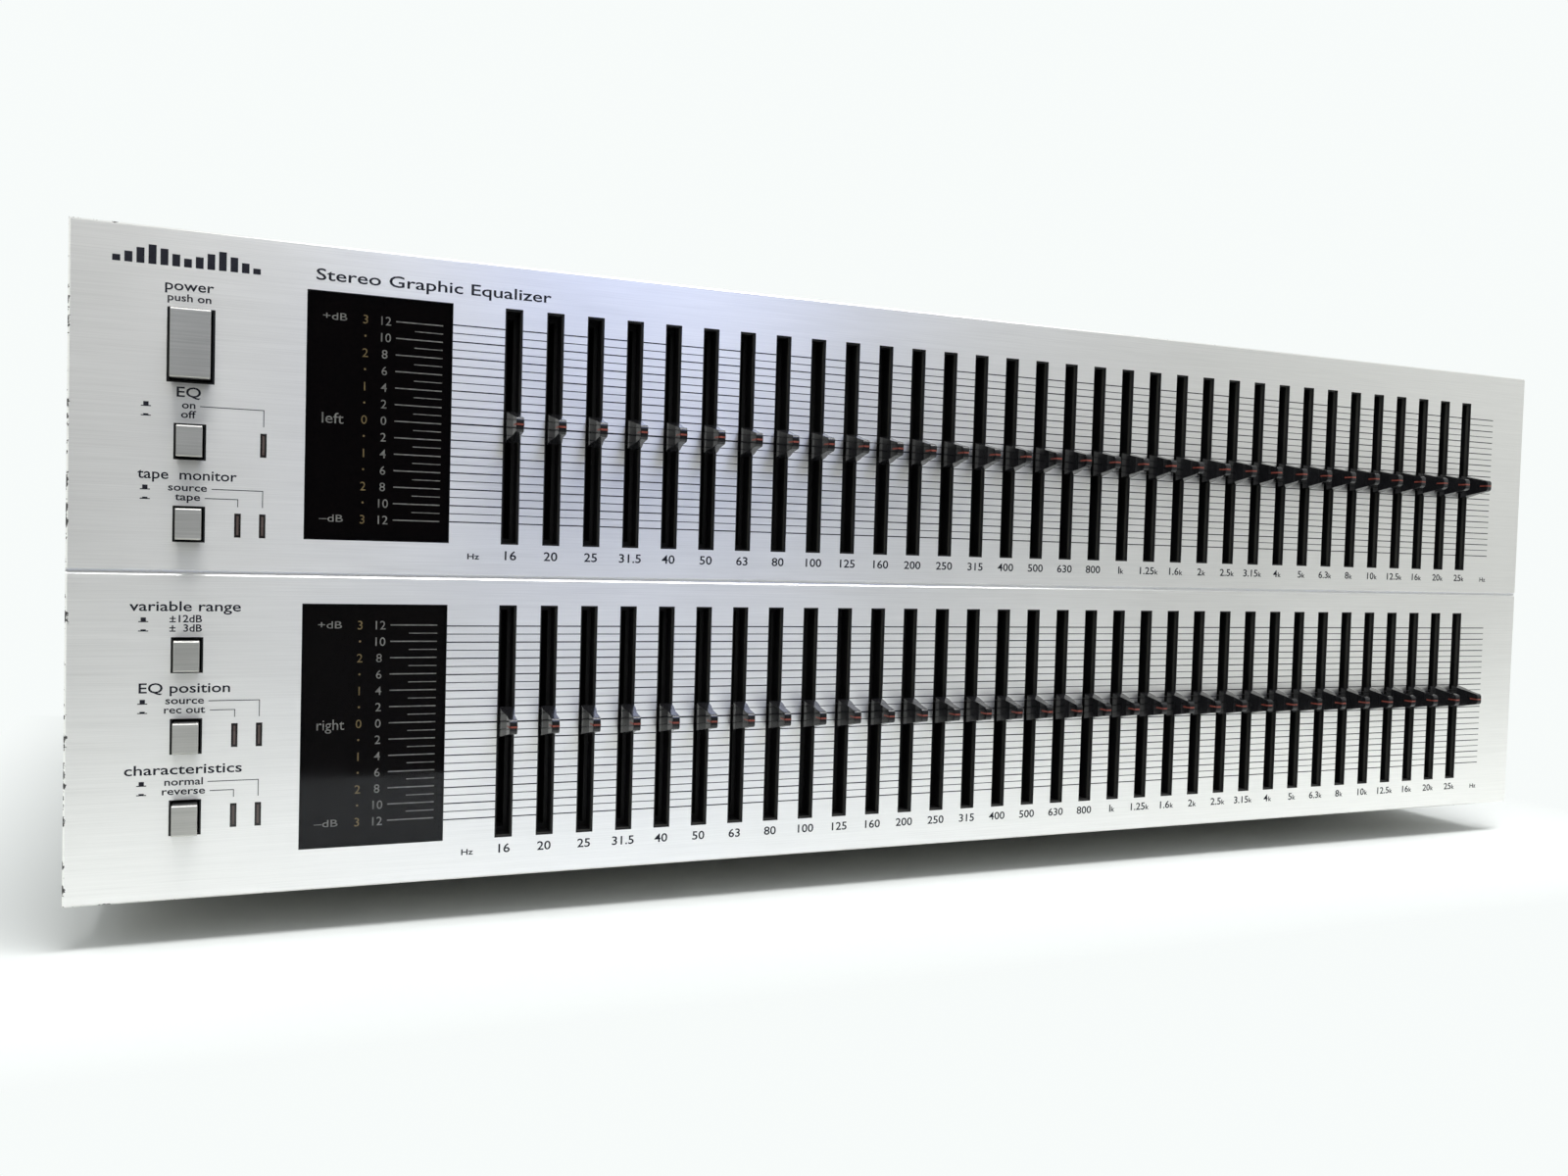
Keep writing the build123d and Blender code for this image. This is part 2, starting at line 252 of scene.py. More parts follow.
    @staticmethod
    def join(name: str, pieces: Sequence[bpy.types.Object]) -> bpy.types.Object:
        """Make several pieces one, which keeps each one's materials."""
        Bench.clear()
        for piece in pieces:
            piece.select_set(True)
        bpy.context.view_layer.objects.active = pieces[0]
        if len(pieces) > 1:
            bpy.ops.object.join()
        pieces[0].name = pieces[0].data.name = name
        return pieces[0]

    @staticmethod
    def discard(piece: bpy.types.Object) -> None:
        """Remove a pattern piece that has been copied."""
        bpy.data.objects.remove(piece)


# ---- shader nodes -------------------------------------------------------------------------
class Canvas:
    """A node tree with short ways to add and join its nodes."""

    def __init__(self, tree: bpy.types.NodeTree) -> None:
        """Take a tree and remove what is in it."""
        self.tree = tree
        tree.nodes.clear()

    def add(self, kind: str, inputs: Optional[dict] = None, **settings: Any) -> bpy.types.Node:
        """Add a node.

        Args:
            kind: The node's type, without its ShaderNode prefix.
            inputs: What each input socket, by name or number, is set or joined to.
            **settings: The node's own settings.

        Returns:
            The node.
        """
        node = self.tree.nodes.new(f"ShaderNode{kind}")
        for name, value in settings.items():
            setattr(node, name, value)
        for key, value in (inputs or {}).items():
            self.feed(node.inputs[key], value)
        return node

    def feed(self, socket: bpy.types.NodeSocket, value: Any) -> None:
        """Join a socket to another, or set it to a plain value."""
        if isinstance(value, bpy.types.NodeSocket):
            self.tree.links.new(value, socket)
        elif isinstance(value, tuple) and len(value) == 3 and socket.type == "RGBA":
            socket.default_value = (*value, 1.0)
        else:
            socket.default_value = value

    def place(self) -> bpy.types.NodeSocket:
        """The piece's own Object coordinates, in metres."""
        return self.add("TexCoord").outputs["Object"]

    def maths(self, operation: str, *values: Any, clamp: bool = False) -> bpy.types.NodeSocket:
        """The result of one sum."""
        node = self.add("Math", dict(enumerate(values)), operation=operation, use_clamp=clamp)
        return node.outputs[0]

    def vector(self, operation: str, first: Any, second: Any = (0.0, 0.0, 0.0)) -> bpy.types.NodeSocket:
        """The result of one vector sum."""
        return self.add("VectorMath", {0: first, 1: second}, operation=operation).outputs[0]

    def scaled(self, colour: Any, shade: Any) -> bpy.types.NodeSocket:
        """A colour made lighter or darker by a shade."""
        return self.add("VectorMath", {0: colour, 3: shade}, operation="SCALE").outputs[0]

    def axes(self, place: Any) -> tuple[bpy.types.NodeSocket, ...]:
        """The X, Y and Z of a place."""
        return tuple(self.add("SeparateXYZ", {0: place}).outputs)

    def blend(self, share: Any, first: Any, second: Any) -> bpy.types.NodeSocket:
        """Mix two colours by a share."""
        node = self.add("Mix", data_type="RGBA")
        for key, value in ((0, share), (6, first), (7, second)):
            self.feed(node.inputs[key], value)
        return node.outputs[2]

    def spread(self, value: Any, low: float, high: float, to_low: float = 0.0,
               to_high: float = 1.0) -> bpy.types.NodeSocket:
        """Map a value from one range to another, held at its ends."""
        inputs = {0: value, 1: low, 2: high, 3: to_low, 4: to_high}
        return self.add("MapRange", inputs, clamp=True).outputs[0]

    def effect(self, tree: bpy.types.NodeTree, **inputs: Any) -> bpy.types.NodeSocket:
        """Place a shared effect and return its one output. Its inputs' names are given in lower case."""
        node = self.add("Group", node_tree=tree)
        for name, value in inputs.items():
            self.feed(node.inputs[name.replace("_", " ").title()], value)
        return node.outputs[0]

    def relief(self, height: Any, depth_mm: float, strength: float = 1.0) -> bpy.types.NodeSocket:
        """A normal from a height of nought to one over a depth in millimetres."""
        node = self.add("Bump", {"Height": height, "Strength": strength, "Distance": depth_mm * MM})
        return node.outputs[0]


class Effects:
    """Shader node groups that several finishes share. Each is built on its first use."""

    @staticmethod
    def start(name: str, output: str, **inputs: Any) -> tuple[bpy.types.NodeTree, Canvas, dict, Callable]:
        """Open a new group.

        Args:
            name: The group's name.
            output: The name of its one output, a value.
            **inputs: Each input's name and default, where a tuple makes it a vector.

        Returns:
            The tree, its canvas, its input sockets by name, and a call that joins its output.
        """
        tree = bpy.data.node_groups.new(name, "ShaderNodeTree")
        canvas = Canvas(tree)
        for key, value in inputs.items():
            kind = "NodeSocketVector" if isinstance(value, tuple) else "NodeSocketFloat"
            label = key.replace("_", " ").title()
            socket = tree.interface.new_socket(label, in_out="INPUT", socket_type=kind)
            socket.default_value = value
        tree.interface.new_socket(output, in_out="OUTPUT", socket_type="NodeSocketFloat")
        entry = tree.nodes.new("NodeGroupInput")
        leave = tree.nodes.new("NodeGroupOutput")
        sockets = {key: entry.outputs[key.replace("_", " ").title()] for key in inputs}
        return tree, canvas, sockets, lambda value: canvas.feed(leave.inputs[0], value)

    @staticmethod
    def streaks() -> bpy.types.NodeTree:
        """Long fine lines, as brushing leaves them. Stretch says how fine they are on each axis."""
        name = "fine_streaks"
        if name in bpy.data.node_groups:
            return bpy.data.node_groups[name]
        tree, canvas, given, leave = Effects.start(
            name, "Streaks", place=(0, 0, 0), stretch=(1, 1, 1), detail=3.0
        )
        drawn = canvas.vector("MULTIPLY", given["place"], given["stretch"])
        inputs = {"Vector": drawn, "Scale": 1.0, "Detail": given["detail"], "Roughness": 0.65}
        leave(canvas.add("TexNoise", inputs).outputs[0])
        return tree

    @staticmethod
    def clouds() -> bpy.types.NodeTree:
        """Slow, soft change over a surface. Size is in millimetres."""
        name = "soft_clouds"
        if name in bpy.data.node_groups:
            return bpy.data.node_groups[name]
        tree, canvas, given, leave = Effects.start(name, "Clouds", place=(0, 0, 0), size=20.0, detail=2.0)
        scale = canvas.maths("DIVIDE", 1000.0, given["size"])
        inputs = {"Vector": given["place"], "Scale": scale, "Detail": given["detail"]}
        leave(canvas.add("TexNoise", inputs).outputs[0])
        return tree

    @staticmethod
    def specks() -> bpy.types.NodeTree:
        """Scattered spots, as dust, pits and grit make. Size is in millimetres, Share from nought to one."""
        name = "scattered_specks"
        if name in bpy.data.node_groups:
            return bpy.data.node_groups[name]
        tree, canvas, given, leave = Effects.start(name, "Specks", place=(0, 0, 0), size=1.0, share=0.1)
        scale = canvas.maths("DIVIDE", 1000.0, given["size"])
        cells = canvas.add("TexVoronoi", {"Vector": given["place"], "Scale": scale}, feature="F1")
        reach = canvas.maths("MULTIPLY", given["share"], 0.6)
        coarse = canvas.maths("MULTIPLY", scale, 0.37)
        noise = canvas.add("TexNoise", {"Vector": given["place"], "Scale": coarse})
        uneven = canvas.maths("MULTIPLY", cells.outputs["Distance"], noise.outputs[0])
        near = canvas.maths("SUBTRACT", reach, uneven)
        leave(canvas.maths("MULTIPLY", near, 18.0, clamp=True))
        return tree

    @staticmethod
    def chips() -> bpy.types.NodeTree:
        """Chips and rubbed spots near a flat face's rim.

        Low and High are the face's two corners as X, Y and Z in metres. Reach is how far in the wear goes, in
        millimetres. A side wall is nowhere in from the rim, so it takes a least distance, and chips cover it
        only in part.
        """
        name = "rim_chips"
        if name in bpy.data.node_groups:
            return bpy.data.node_groups[name]
        tree, canvas, given, leave = Effects.start(
            name, "Chips", place=(0, 0, 0), low=(0, 0, 0), high=(1, 1, 1), reach=1.0, size=3.0
        )
        inner = canvas.vector("SUBTRACT", given["place"], given["low"])
        outer = canvas.vector("SUBTRACT", given["high"], given["place"])
        across, _, high = canvas.axes(canvas.vector("MINIMUM", inner, outer))
        rim = canvas.maths("MULTIPLY", canvas.maths("MINIMUM", across, high), 1000.0)
        least_rim = 0.12
        rim = canvas.maths("MAXIMUM", rim, least_rim)
        scale = canvas.maths("DIVIDE", 1000.0, given["size"])
        inputs = {"Vector": given["place"], "Scale": scale, "Detail": 4.0, "Roughness": 0.7}
        noise = canvas.add("TexNoise", inputs)
        wear = canvas.maths("MULTIPLY", canvas.spread(noise.outputs[0], 0.5, 0.8), given["reach"])
        leave(canvas.maths("MULTIPLY", canvas.maths("SUBTRACT", wear, rim), 8.0, clamp=True))
        return tree


# ---- finishes -----------------------------------------------------------------------------
@dataclass(frozen=True)
class Finish:
    """A surface finish. Each kind of finish lays out its own nodes."""

    name: str
    colour: Colour
    roughness: float = 0.5

    def material(self) -> bpy.types.Material:
        """Return the finish's material, which is made on first use."""
        if self.name in bpy.data.materials:
            return bpy.data.materials[self.name]
        made = bpy.data.materials.new(self.name)
        made.use_nodes = True
        canvas = Canvas(made.node_tree)
        leave = canvas.add("OutputMaterial")
        self.lay_out(canvas, leave.inputs["Surface"])
        return made

    def lay_out(self, canvas: Canvas, surface: bpy.types.NodeSocket) -> None:
        """Join this finish's shader to the material's surface."""
        raise NotImplementedError

    def dress(self, *pieces: bpy.types.Object) -> None:
        """Give pieces this finish and no other."""
        for piece in pieces:
            piece.data.materials.clear()
            piece.data.materials.append(self.material())


@dataclass(frozen=True)
class BrushedPanel(Finish):
    """Bright aluminium brushed from side to side, chipped at its rim, black on its openings' walls, and with
    painted light and shade on its groove's sides.
    """

    low: Triple = (0.0, 0.0, 0.0)
    high: Triple = (1.0, 1.0, 1.0)
    groove: float = 0.0
    # Scales of the face's colour on the groove's lower and upper sides: a painted highlight and painted
    # shade.
    fine_share: float = 0.88
    pale_and_dark: Span = (1.3, 0.75)
    bare: Colour = (0.030, 0.028, 0.028)
    left_wear: float = 0.012
    wear: Span = (1.5, 0.3)

    def lay_out(self, canvas: Canvas, surface: bpy.types.NodeSocket) -> None:
        """Fine and broad brushing in colour, roughness and relief, with a painted highlight and painted shade
        on the groove's sides, under dark chips and black walls.
        """
        place = canvas.place()
        fine = canvas.effect(Effects.streaks(), place=place, stretch=(45.0, 1200.0, 6500.0), detail=3.0)
        broad = canvas.effect(Effects.streaks(), place=place, stretch=(9.0, 300.0, 1500.0), detail=2.0)
        clouds = canvas.effect(Effects.clouds(), place=place, size=60.0)
        both = canvas.maths("ADD", canvas.maths("MULTIPLY", fine, self.fine_share),
                            canvas.maths("MULTIPLY", broad, 1.0 - self.fine_share))
        shade = canvas.spread(both, *NOISE, 0.93, 1.04)
        across, deep, high = canvas.axes(place)
        # The groove's painted highlight and painted shade scale the metal's colour here.
        shade = canvas.maths("MULTIPLY", shade, self.cut(canvas, deep, high))
        metal = canvas.scaled(self.colour, shade)
        reach = canvas.spread(across, self.low[0], self.low[0] + self.left_wear, *self.wear)
        worn = canvas.effect(Effects.chips(), place=place, low=self.low, high=self.high, reach=reach,
                             size=2.2)
        pits = canvas.effect(Effects.specks(), place=place, size=23.0, share=0.012)
        spots = canvas.maths("MAXIMUM", worn, canvas.maths("MULTIPLY", pits, 0.45))
        spots = canvas.maths("MAXIMUM", spots, self.walls(canvas, across, deep, high))
        rough = canvas.spread(both, *NOISE, self.roughness - 0.02, self.roughness + 0.03)
        rough = canvas.maths("ADD", rough, canvas.spread(clouds, *NOISE, -0.02, 0.02))
        shader = canvas.add("BsdfPrincipled", {
            "Base Color": canvas.blend(spots, metal, self.bare),
            "Metallic": canvas.spread(spots, 0.0, 1.0, 1.0, 0.0),
            "Roughness": canvas.maths("ADD", rough, canvas.maths("MULTIPLY", spots, 0.3)),
            "Anisotropic": 0.75,
            "Anisotropic Rotation": 0.25,
            "Tangent": canvas.add("Tangent", direction_type="RADIAL", axis="Z").outputs[0],
            "Normal": canvas.relief(canvas.maths("SUBTRACT", fine, worn), 0.006, 0.4),
        })
        canvas.feed(surface, shader.outputs[0])

    def cut(self, canvas: Canvas, deep: Any, high: Any) -> bpy.types.NodeSocket:
        """Painted light on the groove: how much paler its lower side is painted than the face, as a painted
        highlight, and how much darker its upper side, as painted shade.
        """
        inside = canvas.maths("MULTIPLY", canvas.maths("COMPARE", high, self.groove, 0.7 * MM),
                              canvas.maths("GREATER_THAN", deep, self.low[1] + 0.03 * MM))
        middle = 0.05 * MM
        side = canvas.spread(high, self.groove - middle, self.groove + middle, *self.pale_and_dark)
        face = canvas.maths("SUBTRACT", 1.0, inside)
        return canvas.maths("ADD", face, canvas.maths("MULTIPLY", inside, side))

    def walls(self, canvas: Canvas, across: Any, deep: Any, high: Any) -> bpy.types.NodeSocket:
        """Where the openings' black walls are: behind the face, inside the rim and off the groove."""
        behind = canvas.maths("GREATER_THAN", deep, self.low[1] + 0.04 * MM)
        side, tall = (
            canvas.maths("COMPARE", place, (self.low[axis] + self.high[axis]) / 2,
                         (self.high[axis] - self.low[axis]) / 2 - MM)
            for axis, place in ((0, across), (2, high))
        )
        clear = canvas.maths("SUBTRACT", 1.0, canvas.maths("COMPARE", high, self.groove, 0.9 * MM))
        inner = canvas.maths("MULTIPLY", behind, side)
        return canvas.maths("MULTIPLY", inner, canvas.maths("MULTIPLY", tall, clear))


@dataclass(frozen=True)
class SatinMetal(Finish):
    """Plated, drawn or blasted metal with a fine grain and faint marks."""

    stretch: Triple = (2500.0, 2500.0, 2500.0)
    grain: float = 0.01

    def lay_out(self, canvas: Canvas, surface: bpy.types.NodeSocket) -> None:
        """Grain in colour, roughness and relief, over slow clouds."""
        place = canvas.place()
        grain = canvas.effect(Effects.streaks(), place=place, stretch=self.stretch, detail=2.0)
        clouds = canvas.effect(Effects.clouds(), place=place, size=14.0, detail=1.0)
        shade = canvas.maths("MULTIPLY", canvas.spread(grain, *NOISE, 0.90, 1.08),
                             canvas.spread(clouds, *NOISE, 0.97, 1.03))
        metal = canvas.scaled(self.colour, shade)
        shader = canvas.add("BsdfPrincipled", {
            "Base Color": metal,
            "Metallic": 1.0,
            "Roughness": canvas.spread(clouds, *NOISE, self.roughness - 0.02, self.roughness + 0.03),
            "Normal": canvas.relief(grain, self.grain, 0.6),
        })
        canvas.feed(surface, shader.outputs[0])


@dataclass(frozen=True)
class Moulded(Finish):
    """Moulded plastic or rubber, from matt to polished, with a grain, faint scuffs and dust."""

    grain_size: float = 0.5
    grain_depth: float = 0.01
    dust: float = 0.05
    gloss: float = 1.5

    def lay_out(self, canvas: Canvas, surface: bpy.types.NodeSocket) -> None:
        """Grain in relief, scuffs in roughness, and dust in colour."""
        place = canvas.place()
        grain = canvas.effect(Effects.clouds(), place=place, size=self.grain_size, detail=2.0)
        scuffs = canvas.effect(Effects.clouds(), place=place, size=6.0, detail=4.0)
        dust = canvas.effect(Effects.specks(), place=place, size=1.7, share=self.dust)
        shade = canvas.spread(scuffs, *NOISE, 0.85, 1.2)
        body = canvas.scaled(self.colour, shade)
        rough = canvas.spread(scuffs, 0.35, 0.75, max(self.roughness - 0.05, 0.03), self.roughness + 0.1)
        shader = canvas.add("BsdfPrincipled", {
            "Base Color": canvas.blend(canvas.maths("MULTIPLY", dust, 0.35), self.tint(canvas, place, body),
                                       (0.35, 0.34, 0.32)),
            "Roughness": canvas.maths("ADD", rough, canvas.maths("MULTIPLY", dust, 0.3)),
            "IOR": self.gloss,
            "Normal": canvas.relief(grain, self.grain_depth, 0.5),
        })
        canvas.feed(surface, shader.outputs[0])

    def tint(self, canvas: Canvas, place: Any, body: Any) -> Any:
        """Change the body colour before dust is laid on it. The plain kind leaves it as it is."""
        return body


@dataclass(frozen=True)
class LinedBlack(Moulded):
    """Black plastic whose rims show a paler band at one depth behind the panel's face: painted light, where
    light that comes in through the slots falls on the rims.
    """

    band: tuple[float, float] = (0.0, 1.0)
    # The colour of the painted light on the rims.
    pale: Colour = (0.05, 0.05, 0.045)

    def tint(self, canvas: Canvas, place: Any, body: Any) -> Any:
        """Lay the paler band of painted light over the body colour."""
        deep = canvas.axes(place)[1]
        middle, half = (self.band[0] + self.band[1]) / 2, (self.band[1] - self.band[0]) / 2
        return canvas.blend(canvas.maths("COMPARE", deep, middle, half), body, self.pale)


@dataclass(frozen=True)
class Ink(Finish):
    """Screen-printed ink with a slightly uneven film. Ink bonded under a clear plate has no shine."""

    shine: float = 0.5

    def lay_out(self, canvas: Canvas, surface: bpy.types.NodeSocket) -> None:
        """Uneven cover in colour and roughness."""
        place = canvas.place()
        film = canvas.effect(Effects.clouds(), place=place, size=0.8, detail=3.0)
        shade = canvas.spread(film, *NOISE, 0.75, 1.25)
        cover = canvas.scaled(self.colour, shade)
        rough = canvas.spread(film, *NOISE, self.roughness - 0.08, self.roughness + 0.1)
        shader = canvas.add("BsdfPrincipled", {
            "Base Color": cover, "Roughness": rough, "Specular IOR Level": self.shine,
            "Normal": canvas.relief(film, 0.004, 0.4),
        })
        canvas.feed(surface, shader.outputs[0])


@dataclass(frozen=True)
class ClearPlate(Finish):
    """Polished smoked plate that shows the print behind it."""

    ior: float = 1.49
    sheen: Colour = (0.58, 0.59, 0.62)

    def lay_out(self, canvas: Canvas, surface: bpy.types.NodeSocket) -> None:
        """A tinted clear shader under a polished one that grows towards the edge of sight."""
        place = canvas.place()
        wipes = canvas.effect(Effects.streaks(), place=place, stretch=(120.0, 400.0, 30.0), detail=3.0)
        rough = canvas.spread(wipes, 0.4, 0.8, self.roughness, self.roughness + 0.06)
        share = canvas.add("Fresnel", {"IOR": self.ior}).outputs[0]
        clear = canvas.add("BsdfTransparent", {"Color": self.colour}).outputs[0]
        polish = canvas.add("BsdfGlossy", {"Color": self.sheen, "Roughness": rough}).outputs[0]
        canvas.feed(surface, canvas.add("MixShader", {0: share, 1: clear, 2: polish}).outputs[0])


@dataclass(frozen=True)
class TexturedPaint(Finish):
    """Baked paint on steel with a fine wrinkle, rubbed at the rim."""

    low: Triple = (0.0, 0.0, 0.0)
    high: Triple = (1.0, 1.0, 1.0)
    wrinkle: float = 0.9
    wrinkle_depth: float = 0.08

    def lay_out(self, canvas: Canvas, surface: bpy.types.NodeSocket) -> None:
        """Wrinkles in relief and colour, with a rubbed rim."""
        place = canvas.place()
        wrinkles = canvas.effect(Effects.clouds(), place=place, size=self.wrinkle, detail=3.0)
        clouds = canvas.effect(Effects.clouds(), place=place, size=70.0, detail=3.0)
        rubbed = canvas.effect(Effects.chips(), place=place, low=self.low, high=self.high, reach=1.0,
                               size=7.0)
        dust = canvas.effect(Effects.specks(), place=place, size=6.0, share=0.03)
        shade = canvas.maths("MULTIPLY", canvas.spread(wrinkles, *NOISE, 0.8, 1.2),
                             canvas.spread(clouds, *NOISE, 0.92, 1.08))
        paint = canvas.scaled(self.colour, shade)
        dusty = canvas.blend(canvas.maths("MULTIPLY", dust, 0.3), paint, (0.3, 0.3, 0.29))
        shader = canvas.add("BsdfPrincipled", {
            "Base Color": canvas.blend(rubbed, dusty, (0.25, 0.25, 0.25)),
            "Metallic": canvas.maths("MULTIPLY", rubbed, 0.8),
            "Roughness": canvas.spread(clouds, *NOISE, self.roughness - 0.04, self.roughness + 0.06),
            "Normal": canvas.relief(wrinkles, self.wrinkle_depth, 0.6),
        })
        canvas.feed(surface, shader.outputs[0])


@dataclass(frozen=True)
class Layered(Finish):
    """Stacked sheets or wound tape: thin layers across one axis."""

    second: Colour = (0.1, 0.1, 0.1)
    pitch: float = 0.5
    metal: float = 0.0

    def lay_out(self, canvas: Canvas, surface: bpy.types.NodeSocket) -> None:
        """Bands in colour and relief, made uneven by noise."""
        place = canvas.place()
        clouds = canvas.effect(Effects.clouds(), place=place, size=8.0, detail=3.0)
        along = canvas.axes(place)[1]
        turns = canvas.maths("MULTIPLY", along, 1000.0 * math.tau / self.pitch)
        layers = canvas.spread(canvas.maths("SINE", turns), -1.0, 1.0)
        colour = canvas.blend(canvas.maths("MULTIPLY", layers, clouds), self.colour, self.second)
        shader = canvas.add("BsdfPrincipled", {
            "Base Color": colour,
            "Metallic": self.metal,
            "Roughness": canvas.spread(clouds, *NOISE, self.roughness - 0.05, self.roughness + 0.1),
            "Normal": canvas.relief(layers, 0.05, 0.5),
        })
        canvas.feed(surface, shader.outputs[0])


PANEL_LOW, PANEL_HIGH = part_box("front_panel")
COVER_LOW, COVER_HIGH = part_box("top_cover")
REAR_LOW, REAR_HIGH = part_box("rear_panel")

GROOVE_RISE = 70.4 * MM
# Depths behind the panel's face of the frame rims' band of painted light.
RIM_LIT_BAND = (0.55 * MM, 1.45 * MM)

ALUMINIUM = BrushedPanel("brushed_aluminium", (0.935, 0.93, 0.905), 0.36, tuple(PANEL_LOW), tuple(PANEL_HIGH),
                         PANEL_LOW.z + GROOVE_RISE)
BUTTON_PLATE = SatinMetal("button_plate", (0.47, 0.465, 0.435), 0.50, (60.0, 2500.0, 4000.0), 0.012)
BUTTON_BODY = Moulded("button_body", (0.012, 0.012, 0.012), 0.35)
KNOB_BLACK = Moulded("knob_black", (0.008, 0.008, 0.009), 0.16, 0.9, 0.004, 0.02, 1.5)
KNOB_LINE = Ink("knob_line", (0.17, 0.034, 0.022), 0.35)
LEVER_STEEL = SatinMetal("lever_steel", (0.10, 0.10, 0.10), 0.40)
# The frame's rims carry a band of painted light behind the panel's face.
FRAME_BLACK = LinedBlack("frame_black", (0.003, 0.003, 0.0035), 0.45, 0.6, 0.01, 0.01,
                         band=(PANEL_LOW.y + RIM_LIT_BAND[0], PANEL_LOW.y + RIM_LIT_BAND[1]))
PRINT_BLACK = Ink("print_black", (0.012, 0.012, 0.018), 0.5, 0.15)
PRINT_GREY = Ink("print_grey", (0.70, 0.71, 0.72), 0.5, 0.0)
PRINT_GOLD = Ink("print_gold", (0.62, 0.48, 0.25), 0.5, 0.0)
PRINT_WHITE = Ink("print_white", (0.70, 0.70, 0.68), 0.5)
WINDOW_BACK = Ink("window_back", (0.006, 0.004, 0.004), 0.6, 0.0)
SMOKED = ClearPlate("smoked_plate", (0.80, 0.79, 0.77), 0.03)
LENS_BODY = Moulded("lens_body", (0.012, 0.010, 0.010), 0.15)
LENS_STRIPE = Moulded("lens_stripe", (0.070, 0.052, 0.048), 0.25)
COVER_PAINT = TexturedPaint("cover_paint", (0.055, 0.056, 0.060), 0.42, tuple(COVER_LOW), tuple(COVER_HIGH))
REAR_PAINT = TexturedPaint("rear_paint", (0.030, 0.030, 0.032), 0.40, tuple(REAR_LOW), tuple(REAR_HIGH),
                           1.2, 0.04)
ZINC = SatinMetal("zinc_plate", (0.55, 0.54, 0.50), 0.38, (500.0, 500.0, 500.0))
BLACK_OXIDE = SatinMetal("black_oxide", (0.07, 0.07, 0.07), 0.35)
FOOT_BLACK = Moulded("foot_black", (0.016, 0.016, 0.016), 0.45, 0.8, 0.03, 0.06)
FOOT_RUBBER = Moulded("foot_rubber", (0.028, 0.027, 0.026), 0.75, 0.5, 0.05, 0.1)
NICKEL = SatinMetal("nickel", (0.68, 0.67, 0.64), 0.18, (1500.0, 1500.0, 1500.0), 0.004)
SOCKET_WHITE = Moulded("socket_white", (0.65, 0.64, 0.60), 0.35)
SOCKET_RED = Moulded("socket_red", (0.45, 0.02, 0.02), 0.35)
GLAND_BLACK = Moulded("gland_black", (0.014, 0.014, 0.014), 0.45)
CASE_BLACK = Moulded("case_black", (0.003, 0.003, 0.003), 0.6)
PHENOLIC = Moulded("phenolic_board", (0.26, 0.17, 0.06), 0.45, 1.5, 0.02, 0.1)
COMPONENT = Moulded("component_case", (0.02, 0.025, 0.05), 0.3)
LAMINATION = Layered("core_laminations", (0.06, 0.06, 0.065), 0.4, (0.22, 0.22, 0.23), 0.5, 0.8)
WINDING = Layered("winding_tape", (0.55, 0.40, 0.10), 0.45, (0.35, 0.24, 0.05), 6.0)


# ---- lettering ----------------------------------------------------------------------------
class Facing(Enum):
    """The way a printed face looks, as the turn of lettering that lies flat."""

    FRONT = Matrix.Rotation(math.pi / 2, 4, "X")
    BACK = Matrix.Rotation(math.pi, 4, "Z") @ Matrix.Rotation(math.pi / 2, 4, "X")


class Align(Enum):
    """Which end of a line of words is held."""

    LEFT = "LEFT"
    CENTRE = "CENTER"
    RIGHT = "RIGHT"


@dataclass(frozen=True)
class Press:
    """Prints words and bars on one flat face. Places are in millimetres in the row frame."""

    face_y: float
    facing: Facing
    film: float = 0.02
    cap_share: float = 0.729
    ink_gain: float = 0.030
    stretch: float = 1.0

    def words(self, text: str, x: float, baseline: float, cap: float, finish: Finish,
              align: Align = Align.CENTRE, width: Optional[float] = None) -> bpy.types.Object:
        """Print a line of words.

        Args:
            text: The words.
            x: Where the held end or the middle is.
            baseline: The height of the line that the letters stand on.
            cap: The height of a capital letter.
            finish: The ink.
            align: Which end is held.
            width: The whole width that the words are fitted to, or None to widen them by the press's stretch.

        Returns:
            The printed piece.
        """
        Bench.clear()
        bpy.ops.object.text_add()
        words = bpy.context.object
        words.data.body = text
        words.data.size = cap / self.cap_share
        words.data.align_x = align.value
        words.data.extrude = self.film / 2
        words.data.offset = self.ink_gain
        words.data.resolution_u = 3
        bpy.ops.object.convert(target="MESH")
        piece = bpy.context.object
        spans = [corner.co.x for corner in piece.data.vertices]
        stretch = width / (max(spans) - min(spans)) if width else self.stretch
        piece.data.transform(Matrix.Diagonal((stretch, 1, 1, 1)))
        if width and align is Align.CENTRE:
            spans = [corner.co.x for corner in piece.data.vertices]
            piece.data.transform(Matrix.Translation((-(max(spans) + min(spans)) / 2, 0, 0)))
        piece.data.transform(self.facing.value)
        piece.data.transform(Matrix.Translation((x, self.face_y, baseline)))
        piece.data.transform(Matrix.Scale(MM, 4))
        finish.dress(piece)
        return piece

    def bar(self, x: Span, z: Span, finish: Finish) -> bpy.types.Object:
        """Print a solid bar between two ends on X and Z."""
        half = self.film / 2
        piece = Bench.block("bar", (x[0] * MM, (self.face_y - half) * MM, z[0] * MM),
                            (x[1] * MM, (self.face_y + half) * MM, z[1] * MM))
        finish.dress(piece)
        return piece

    def stroke(self, x: Span, height: float, weight: float, finish: Finish) -> bpy.types.Object:
        """Print a level line of a weight at a height."""
        return self.bar(x, (height - weight / 2, height + weight / 2), finish)

    def upright(self, x: float, z: Span, weight: float, finish: Finish) -> bpy.types.Object:
        """Print an upright line of a weight at a place across."""
        return self.bar((x - weight / 2, x + weight / 2), z, finish)


def span_of(node: str) -> tuple[Vector, Vector]:
    """A CAD node's lowest and highest corners in millimetres."""
    low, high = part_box(node)
    return low / MM, high / MM


